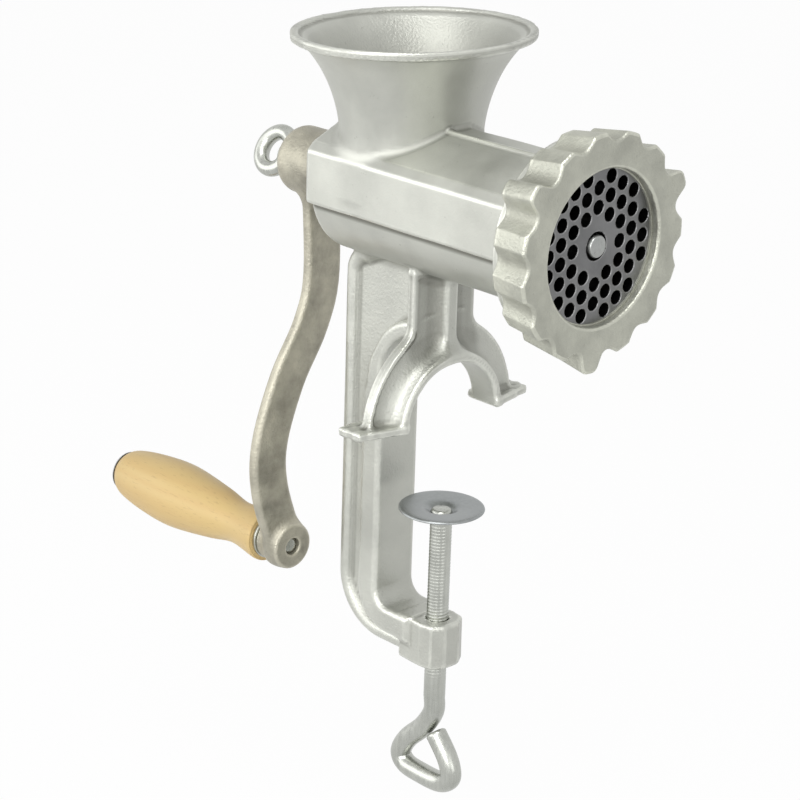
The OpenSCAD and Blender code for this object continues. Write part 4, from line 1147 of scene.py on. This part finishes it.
def build_ring(s):
    """The ring nut: its section carried round the worm axis, with the outer corners on the lobed outline. It
    gets smaller towards its rear, and a narrow row beside each rounded edge keeps the front face flat. Each
    ring has its place, its radius and its wear."""
    back, front = RING[0][0], RING[1][0]
    start, end = back + s.rear_round, front - s.front_round
    sides = s.lobes * 48
    outer = ring_outline(s, angles(sides))
    small = outer - s.taper - 0.2 * (outer - s.valley)
    high = np.clip((outer - s.valley) / s.lobe_rise, 0, 1)
    quarter = np.linspace(0, np.pi / 2, 6)
    narrow = 0.12
    edge = outer - s.front_round - narrow
    lip = s.mouth + s.mouth_round + narrow
    seat = front - s.lip
    step = s.mouth - 0.5
    # The third value in each row is a mark for the edge masks: rubbed, brighter edges with a painted
    # highlight where it is positive, painted shade where it is negative
    rings = [(start - s.rear_round * np.sin(a), small - s.rear_round * (1 - np.cos(a)), 0.08 * high)
             for a in quarter[::-1]]
    rings += [(start + t * (end - start), small + t * (outer - small), 0.07 * high - 0.05)
              for t in np.linspace(0, 1, 9)[1:]]
    rings += [(end + s.front_round * np.sin(a), outer - s.front_round * (1 - np.cos(a)), 0.03 + 0.06 * high)
              for a in quarter[1:]]
    rings += [(front, edge * (1 - t) + lip * t, 0.0) for t in np.linspace(0, 1, 7)]
    rings += [(front - s.mouth_round * (1 - np.cos(a)), s.mouth + s.mouth_round * (1 - np.sin(a)), 0.07)
              for a in quarter]
    rings += [(seat + 0.8, s.mouth, -0.08), (seat + 0.7, step, 0.0), (seat, step, 0.0), (seat, s.bore, 0.0),
              (back, s.bore, 0.0)]
    wear_and_painted_light = np.concatenate([np.broadcast_to(mark, sides) for _, _, mark in rings])
    rows = [(place, radius) for place, radius, _ in rings]
    return rings_piece("lobed_ring", rings_round(rows, sides), 50, True, edge=wear_and_painted_light)


def plate_field(s):
    """Distance to the perforated plate: a disc less a triangular pattern of holes with eased edges, the
    stud's hole and the key's notch."""
    radius = (PLATE[1][1] - PLATE[0][1]) / 2
    row = s.pitch * math.sqrt(3) / 2
    count = math.ceil(radius / s.pitch) + 1
    steps = itertools.product(range(-count, count + 1), repeat=2)
    spots = [(i * row, (k + i / 2) * s.pitch) for i, k in steps]
    limit = s.mouth - s.hole + 0.5
    spots = [p for p in spots if s.middle < math.hypot(*p) < limit]

    def field(x, y, z):
        up = z - AXIS_Z
        depth = within(x, PLATE[0][0], PLATE[1][0])
        disc = carried(np.hypot(y, up) - radius, depth, 0.5)
        holes = np.hypot(y, up) - s.stud - s.stud_room
        for v, w in spots:
            holes = np.minimum(holes, np.hypot(y - v, up - w) - s.hole)
        holes = np.minimum(holes, np.hypot(y, up - radius) - s.key_notch)
        return cut(disc, np.broadcast_to(holes, np.broadcast(holes, x).shape), s.hole_ease)
    return field


def build_plate(s):
    """The perforated plate's skin, on a grid that is finer near its faces, with dull walls in its holes."""
    back, front = PLATE[0][0], PLATE[1][0]
    margin = 0.8
    low, high = PLATE[0] - margin, PLATE[1] + margin
    depth = lines((low[0], back + margin, 0.4), (back + margin, front - margin, 0.95),
                  (front - margin, high[0], 0.4))
    ys, zs = (lines((low[n], high[n], 0.44)) for n in (1, 2))

    # Painted shade on the holes' walls and all else behind the front face
    def dull_and_painted_shade(x, y, z):
        return 1.0 * (x < front - s.hole_ease)

    return skinned_piece("mincing_plate", plate_field(s), depth, ys, zs, 0.3, dull_and_painted_shade=dull_and_painted_shade)


def build_stud(s):
    """The knife stud: a shank, a square for the knife and an eased round end, as rings of changing
    outline."""
    back, front = STUD[0][0], STUD[1][0]
    sides = 64
    square = square_round((STUD[1][1] - STUD[0][1]) / 2, 1.36, sides)
    rows = [(back, s.stud_shank - 0.7), (back + 0.7, s.stud_shank), (KNIFE[0][0], s.stud_shank),
            (KNIFE[0][0], square), (KNIFE[1][0], square), (KNIFE[1][0], s.stud), (front - 0.7, s.stud),
            (front - 0.25, s.stud - 0.3), (front - 0.05, s.stud - 0.9), (front, s.stud - 1.6),
            (front, s.stud * 0.3)]
    return rings_piece("stud", rings_round(rows, sides), 35)


# Worm


def build_worm(s):
    """The worm: its radius is the core's, plus the flight's height where a place lies within the flight's
    thickness of one of its turns. The turns' pitch falls towards the outlet. The journal and the driving
    square lie behind it."""
    sides = 144
    angle = angles(sides)
    rear, front = WORM[0][0], WORM[1][0]
    start, end = s.shoulder_x + s.flight_root / 2, front - s.flight_root / 2
    xs = lines((s.shoulder_x, front, 0.55))
    core = np.interp(xs, [s.shoulder_x, s.shoulder_x + s.collar_len, s.shoulder_x + 2 * s.collar_len, front],
                     [s.collar, s.collar, s.core_back, s.core_front])[:, None]
    height = np.zeros((len(xs), sides))
    for n in range(math.ceil(s.turns) + 1):
        t = (angle / (2 * np.pi) + n) / s.turns
        middle = start + (end - start) * ((1 + s.pitch_fall) * t - s.pitch_fall * t * t)
        off = np.abs(xs[:, None] - middle[None, :])
        part = np.clip((s.flight_root / 2 + 0.5 - off) / ((s.flight_root - s.flight_edge) / 2 + 0.5), 0, 1)
        ends = np.clip(t / s.flight_fade, 0, 1) * np.clip((1 - t) / s.flight_fade, 0, 1)
        height = np.maximum(height, part * part * (3 - 2 * part) * ends[None, :])
    square = square_round(s.square / 2, 1.34, sides)
    rows = [(rear, square * 0.9), (rear + 0.6, square), (s.drive_x, square), (s.drive_x, s.journal),
            (s.shoulder_x, s.journal), *zip(xs, core + (s.flight - core) * height), (front, s.stud_hole)]
    return rings_piece("worm", rings_round(rows, sides), 50)


# Crank and handle


def arm_line(s):
    """Middle line of the crank arm, Y against Z: an S from the hub down to the eye."""
    drop = AXIS_Z - EYE_Z
    points = [(0, 0), (s.arm_bulge, 0.28), (EYE_Y / 5, 0.415), (EYE_Y, 0.55), (EYE_Y - 0.9 * s.arm_bow, 0.71),
              (EYE_Y - 0.85 * s.arm_bow, 0.84), (EYE_Y, 1)]
    return smooth_line([(y, AXIS_Z - part * drop) for y, part in points], 6)


def crank_field(s):
    """Distance to the crank: hub, S-shaped arm and eye joined with fillets, less the square and the pin's
    hole."""
    back = CRANK[0][0]
    hub_front = back + s.hub_len
    middle = hub_front - s.hub_len / 2
    path = arm_line(s)

    def field(x, y, z):
        r = np.hypot(y, z - AXIS_Z)
        hub = carried(r - s.hub, within(x, back, hub_front + s.hub_round), s.hub_round)
        hub = cut(hub, hub_front - x, 1.2)
        line = np.full(np.broadcast(y, z).shape, FAR)
        for start, end in zip(path[:-1], path[1:]):
            line = np.minimum(line, stretch(y, z, start, end))
        arm = carried(line - s.arm_width / 2, np.abs(x - middle) - s.arm_thick / 2, s.arm_round)
        at = np.hypot(y - EYE_Y, z - EYE_Z)
        eye = carried(at - s.eye, within(x, middle - s.arm_thick / 2, middle + s.eye_front), 1.0)
        eye = joined(eye, carried(at - s.collar, within(x, middle - s.eye_back, middle), 0.6), 1.0)
        shape = joined(joined(hub, arm, s.hub_fillet), eye, s.eye_fillet)
        shape = cut(shape, carried(at - s.pin_neck - s.pin_fit, within(x, -FAR, 0)), 0.8)
        key = np.maximum(np.abs(y), np.abs(z - AXIS_Z)) - s.square
        return cut(shape, carried(key, within(x, -FAR, 0)), 0.5)
    return field


def thumb_field(s):
    """Distance to the thumb screw: a ring of wire on a collar and a shank, joined with fillets."""
    seat = WASHER[0][0]
    centre = seat - s.thumb_ring - s.thumb_gap
    root = centre + s.thumb_ring - 2 * s.thumb_wire
    cos, sin = math.cos(s.thumb_tilt), math.sin(s.thumb_tilt)

    def field(x, y, z):
        up = z - AXIS_Z
        flat = cos * y - sin * up
        tall = sin * y + cos * up
        wire = np.hypot(np.hypot(x - centre, tall) - s.thumb_ring + s.thumb_wire, flat) - s.thumb_wire
        r = np.hypot(y, up)
        collar = carried(r - s.thumb_collar, within(x, seat - s.thumb_wire, seat), 0.9)
        shank = carried(r - s.thumb_thread, within(x, root, THUMB[1][0]), 0.6)
        return joined(joined(collar, shank, 0.6), wire, 1.6)
    return field


def grip_profile(s):
    """Place and radius along the bored handle: a smooth curve through its turned shape, from its outer end
    to the eye, and then back along the bore."""
    start, length = GRIP[1][0], GRIP[1][0] - GRIP[0][0]
    shape = [(1, s.cap - 0.4), (0.95, s.cap + s.cap_step), (0.8, s.swell - 0.9), (0.6, s.swell),
             (0.36, (s.waist + s.swell) / 2), (0.19, s.waist), (0.02, s.eye_end), (0, s.eye_end - 0.8)]
    outside = smooth_line([(start - part * length, r) for part, r in shape], 8)
    bore = s.pin + s.pin_room
    return np.vstack([outside, [(outside[-1][0], bore), (outside[0][0], bore)]])


def cap_profile(s):
    """Section of the handle's domed end cap, round the pin's hole."""
    back, front = CAP[0][0], CAP[1][0]
    hole = s.pin + s.pin_fit
    points = [(front, hole), (back + 0.2, hole), (back, s.cap_flat), (back + 0.35, s.cap - 1.2),
              (front - 0.5, s.cap), (front, s.cap), (front, hole)]
    return eased(points, 0.5)[:-1]


def pin_profile(s):
    """Place and radius along the handle's pin: its riveted head, its shank and its neck in the eye."""
    back, front = PIN[0][0], PIN[1][0]
    head = (PIN[1][1] - PIN[0][1]) / 2
    stop = EYE_WASHER[1][0] - 0.05
    points = [(back, 0.4), (back, s.pin_end), (CAP[0][0] - 0.02, head), (CAP[0][0], s.pin), (stop, s.pin),
              (stop, s.pin_neck), (front - 0.5, s.pin_neck), (front, s.pin_neck - 1), (front, 0.3)]
    return eased(points, 0.4)


# Clamp


def loop_line(s):
    """Middle line of the clamp screw's three-cornered loop, X against Z."""
    h = s.loop_height
    low = s.bend - h
    left, right = -s.loop_lean - s.loop_half, s.loop_half - s.loop_lean
    return smooth_line([
        (0, s.bend + 3), (0, s.bend - 3), (0.3 * left, s.bend - 0.36 * h), (0.78 * left, s.bend - 0.62 * h),
        (left, s.bend - 0.84 * h), (0.82 * left, low + 0.03 * h), (0.35 * left, low),
        (0.4 * right, low + 0.01 * h), (0.92 * right, low + 0.1 * h), (right, s.bend - 0.78 * h),
        (0.75 * right, s.bend - 0.6 * h), (0.12 * right, s.bend - 0.36 * h)], 14)


def build_screw(s):
    """The clamp screw: a rod down from its riveted end, then round the loop, with a thread cut into its
    straight stretch: the radius falls by a wave of the height, less the turn round the rod."""
    top = SCREW[1][2]
    loop = loop_line(s)
    straight = lines((loop[0][1] + 0.3, top, 0.2))[::-1]
    on_rod = np.arange(len(straight) + len(loop)) < len(straight)
    path = np.zeros((len(on_rod), 3))
    path[on_rod, 2] = straight
    path[~on_rod, 0] = loop[:, 0]
    path[~on_rod, 2] = loop[:, 1]
    z = path[:, 2]
    floor = PAD[1][2] - s.dimple_depth
    under = floor - s.pad_plate
    sides = 40
    angle = angles(sides)
    turn = z[:, None] / s.thread_pitch - angle[None, :] / (2 * np.pi)
    groove = s.thread_depth * (0.5 + 0.5 * np.cos(2 * np.pi * turn))
    cut_in = on_rod * np.clip((under - 1.0 - z) / 1.5, 0, 1) * np.clip((z - s.thread_end) / 3, 0, 1)
    rod = np.where(on_rod, s.rod, s.rod - s.loop_thin)
    rod = np.where((z < floor + 0.05) & (z > under - 0.05), s.neck, rod)
    dome = np.clip((top - z) / 1.2, 0, 1)
    rod = np.where(z > floor, s.rod * (0.72 + 0.28 * np.sqrt(dome)), rod)
    rod[-2:] -= (0.3, 0.9)
    return swept_piece("hand_screw", path, rod[:, None] - groove * cut_in[:, None], sides, (0, 1, 0))


def pad_profile(s):
    """Section of the dished pad from the neck outwards along its top and back along its underside."""
    top, edge = PAD[1][2], PAD[1][0]
    floor = top - s.dimple_depth
    lip = s.dimple + s.slope
    hole = s.neck + s.neck_room
    points = [(floor, hole), (floor, s.dimple - 1), (top - 0.5, lip), (top, edge - 1), (top - 0.4, edge),
              (top - s.pad_edge, edge), (top - s.pad_plate, lip), (floor - s.pad_plate, s.dimple),
              (floor - s.pad_plate, hole)]
    return eased(points, 1.6, 5)


# Stage

WHITE = (1, 1, 1, 1)
WORLD_LIGHT = 0.2
FLOOR_REACH = 8.0
FLOOR_GLOW = 0.97

# Each lamp's name, its place, the point that it lights, its width, its height and its power
LAMPS = (
    ("near_side", (-0.7, -0.95, 0.25), (0.0, 0.0, 0.0), 1.4, 0.8, 5.8),
    ("camera_side", (0.45, -1.05, 0.4), (0.0, 0.0, 0.0), 0.8, 0.8, 7.2),
    ("above", (0.35, -0.45, 1.25), (0.0, 0.0, 0.05), 0.8, 0.8, 8.5),
    ("front", (1.1, -0.3, 0.1), (0.0, 0.0, 0.03), 0.5, 0.4, 1.2),
)

# The camera's turn, rise and roll in degrees, the point that it looks at, its distance, lens and sensor
VIEW_ANGLES = (45.763, 19.711, 1.878)
VIEW_TARGET = (-0.02277, -0.00034, 0.00032)
VIEW_DISTANCE = 0.891764
VIEW_LENS = 112.0
VIEW_SENSOR = 36.0


def soft_light(name, spot, aim, width, height, power):
    """A soft rectangular lamp at a spot, turned to a point that it lights."""
    lamp = bpy.data.lights.new(name, "AREA")
    lamp.shape = "RECTANGLE"
    lamp.size = width
    lamp.size_y = height
    lamp.energy = power
    made = bpy.data.objects.new(name, lamp)
    made.location = spot
    made.rotation_euler = (Vector(aim) - Vector(spot)).to_track_quat("-Z", "Y").to_euler()
    bpy.context.scene.collection.objects.link(made)


def seen_directly(tree):
    """One where a ray comes straight from the camera, from a reflection or through glass, and nought
    elsewhere."""
    path = node(tree, "ShaderNodeLightPath").outputs
    total = sum_of(tree, path["Is Camera Ray"], path["Is Glossy Ray"], "MAXIMUM")
    return sum_of(tree, total, path["Is Transmission Ray"], "MAXIMUM")


def white_world(scene):
    """A world that is white where it is seen directly, and a weak light elsewhere."""
    world = bpy.data.worlds.new("Studio")
    scene.world = world
    world.use_nodes = True
    tree = world.node_tree
    back = tree.nodes["Background"]
    back.inputs["Color"].default_value = WHITE
    link(tree, back.inputs, Strength=ramp(tree, seen_directly(tree), 0, 1, WORLD_LIGHT, 1.0))


def pale_floor(scene, colour):
    """A pale floor just below the clamp screw's lowest place, almost white where it is seen directly."""
    travel = next(joint["range_m"] for joint in frame["joints"] if joint["name"] == "pad_slide")
    level = SCREW[0][2] * MM + travel[0] - 0.0005
    square = [(-FLOOR_REACH, -FLOOR_REACH), (FLOOR_REACH, -FLOOR_REACH), (FLOOR_REACH, FLOOR_REACH),
              (-FLOOR_REACH, FLOOR_REACH)]
    mesh = bpy.data.meshes.new("floor")
    mesh.from_pydata([(x, y, level) for x, y in square], [], [(0, 1, 2, 3)])
    floor = bpy.data.objects.new("floor", mesh)
    scene.collection.objects.link(floor)
    tree, shader = finish("Pale floor", 0.0, Roughness=0.9, Specular_IOR_Level=0.0)
    shader.inputs["Base Color"].default_value = shade(colour)
    glow = node(tree, "ShaderNodeEmission", {"Color": WHITE, "Strength": 1.0})
    share_seen = times(tree, seen_directly(tree), FLOOR_GLOW)
    blend = node(tree, "ShaderNodeMixShader", {0: share_seen, 1: shader.outputs[0], 2: glow.outputs[0]})
    link(tree, tree.nodes["Material Output"].inputs, Surface=blend.outputs[0])
    mesh.materials.append(bpy.data.materials["Pale floor"])


def set_camera(scene):
    """The camera: turned round the upright from the near side, raised, and rolled about its own axis."""
    turn, rise, roll = (math.radians(angle) for angle in VIEW_ANGLES)
    behind = Vector((math.cos(rise) * math.sin(turn), -math.cos(rise) * math.cos(turn), math.sin(rise)))
    right = Vector((math.cos(turn), math.sin(turn), 0))
    up = behind.cross(right)
    side = math.cos(roll) * right + math.sin(roll) * up
    tall = math.cos(roll) * up - math.sin(roll) * right
    lens = bpy.data.cameras.new("camera")
    lens.lens = VIEW_LENS
    lens.sensor_width = VIEW_SENSOR
    lens.sensor_fit = "HORIZONTAL"
    camera = bpy.data.objects.new("camera", lens)
    stand = Matrix.Translation(Vector(VIEW_TARGET) + VIEW_DISTANCE * behind)
    camera.matrix_world = stand @ Matrix((side, tall, behind)).transposed().to_4x4()
    scene.collection.objects.link(camera)
    scene.camera = camera


# Operators


def sizes(context, key):
    """The values of one of the scene's property groups."""
    return values_of(getattr(context.scene, key))


class GRINDER_OT_finishes(bpy.types.Operator):
    """Makes the finishes of all the pieces"""

    bl_idname = "grinder.finishes"
    bl_label = "Finishes"

    def execute(self, context):
        make_finishes(sizes(context, "grinder_finish"))
        return {"FINISHED"}


class GRINDER_OT_casting(bpy.types.Operator):
    """Builds the body casting and dresses the pieces that are fixed in it"""

    bl_idname = "grinder.casting"
    bl_label = "Body casting"

    def execute(self, context):
        body = build_casting(sizes(context, "grinder_casting"))
        place(body, "casting", "tinned_iron", "Tinned iron", "body_casting")
        dress("rear_bush", "Bush plastic")
        dress("thrust_washer", "Thrust fibre")
        dress("plate_key", "Ground steel")
        return {"FINISHED"}


class GRINDER_OT_outlet(bpy.types.Operator):
    """Builds the ring nut, the plate and the stud, and dresses the knife"""

    bl_idname = "grinder.outlet"
    bl_label = "Outlet"

    def execute(self, context):
        s = sizes(context, "grinder_outlet")
        place(build_ring(s), "ring", "ring_iron", "Ring iron", "ring_nut")
        place(build_plate(s), "plate", "dark_steel", "Hardened steel", "perforated_plate")
        place(build_stud(s), "drive", "bright_steel", "Ground steel", "knife_stud")
        dress("knife", "Ground steel")
        return {"FINISHED"}


class GRINDER_OT_worm(bpy.types.Operator):
    """Builds the worm"""

    bl_idname = "grinder.worm"
    bl_label = "Worm"

    def execute(self, context):
        worm = build_worm(sizes(context, "grinder_worm"))
        place(worm, "drive", "tinned_iron", "Tinned iron", "auger")
        return {"FINISHED"}


class GRINDER_OT_crank(bpy.types.Operator):
    """Builds the crank, its washer and its thumb screw"""

    bl_idname = "grinder.crank"
    bl_label = "Crank"

    def execute(self, context):
        s = sizes(context, "grinder_crank")
        arm = boxed_piece("crank", crank_field(s), CRANK, 1.2, (0.6, 0.75, 0.75), 0.7)
        place(arm, "drive", "crank_iron", "Crank iron", "crank_arm")
        screw = boxed_piece("thumb_ring", thumb_field(s), THUMB, 0.9, (0.4, 0.4, 0.4), 0.4)
        place(screw, "thumb", "zinc_steel", "Zinc-plated steel", "thumb_screw")
        washer = flat_washer("seat_washer", WASHER, s.washer_hole)
        place(washer, "washer", "zinc_steel", "Zinc-plated steel", "crank_washer")
        return {"FINISHED"}


class GRINDER_OT_handle(bpy.types.Operator):
    """Builds the wooden handle with its pin, washer and end cap"""

    bl_idname = "grinder.handle"
    bl_label = "Handle"

    def execute(self, context):
        s = sizes(context, "grinder_crank")
        at = (0, EYE_Y, EYE_Z)
        grip = turned_piece("grip", grip_profile(s), at, 96)
        place(grip, "handle", "beech", "Turned beech", "wooden_handle")
        cap = turned_piece("grip_cap", cap_profile(s), at)
        place(cap, "drive", "dark_steel", "Hardened steel", "handle_end_cap")
        washer = flat_washer("eye_washer", EYE_WASHER, s.pin + s.pin_fit, at)
        place(washer, "drive", "zinc_steel", "Zinc-plated steel", "handle_washer")
        pin = turned_piece("grip_pin", pin_profile(s), at, closed=False)
        place(pin, "drive", "zinc_steel", "Zinc-plated steel", "handle_pin")
        return {"FINISHED"}


class GRINDER_OT_clamp(bpy.types.Operator):
    """Builds the clamp screw and its pad"""

    bl_idname = "grinder.clamp"
    bl_label = "Clamp"

    def execute(self, context):
        s = sizes(context, "grinder_clamp")
        place(build_screw(s), "screw", "zinc_steel", "Zinc-plated steel", "clamp_screw")
        pad = turned_piece("pad", pad_profile(s), (0, 0, 0), 96, upright=True)
        place(pad, "pad", "zinc_steel", "Zinc-plated pad", "clamp_pad")
        return {"FINISHED"}


class GRINDER_OT_stage(bpy.types.Operator):
    """Sets the pale floor, the soft light and the camera"""

    bl_idname = "grinder.stage"
    bl_label = "Stage"

    def execute(self, context):
        scene = context.scene
        scene.view_settings.view_transform = "Standard"
        white_world(scene)
        pale_floor(scene, sizes(context, "grinder_finish").floor)
        for lamp in LAMPS:
            soft_light(*lamp)
        set_camera(scene)
        return {"FINISHED"}


OPERATORS = (GRINDER_OT_stage, GRINDER_OT_finishes, GRINDER_OT_casting, GRINDER_OT_outlet, GRINDER_OT_worm,
             GRINDER_OT_crank, GRINDER_OT_handle, GRINDER_OT_clamp)


class GRINDER_PT_pieces(bpy.types.Panel):
    """Lists the grinder's pieces and their sizes"""

    bl_label = "Meat grinder"
    bl_idname = "GRINDER_PT_pieces"
    bl_space_type = "VIEW_3D"
    bl_region_type = "UI"
    bl_category = "Grinder"

    def draw(self, context):
        for kind in OPERATORS:
            self.layout.operator(kind.bl_idname)
        for key, kind in GROUPS.items():
            column = self.layout.column(heading=kind.__doc__)
            for name in kind.__annotations__:
                column.prop(getattr(context.scene, key), name)


CLASSES = (*GROUPS.values(), *OPERATORS, GRINDER_PT_pieces)


def register():
    """Registers the classes and sets the property groups on the scene."""
    for kind in CLASSES:
        bpy.utils.register_class(kind)
    for key, kind in GROUPS.items():
        setattr(bpy.types.Scene, key, PointerProperty(type=kind))


def unregister():
    """Takes back what register did."""
    for key in GROUPS:
        delattr(bpy.types.Scene, key)
    for kind in reversed(CLASSES):
        bpy.utils.unregister_class(kind)


def main():
    """Builds every piece through its operator, and writes the boxes of the solids and of what is shown."""
    register()
    for kind in OPERATORS:
        group, name = kind.bl_idname.split(".")
        getattr(getattr(bpy.ops, group), name)()


if __name__ == "__main__":
    main()
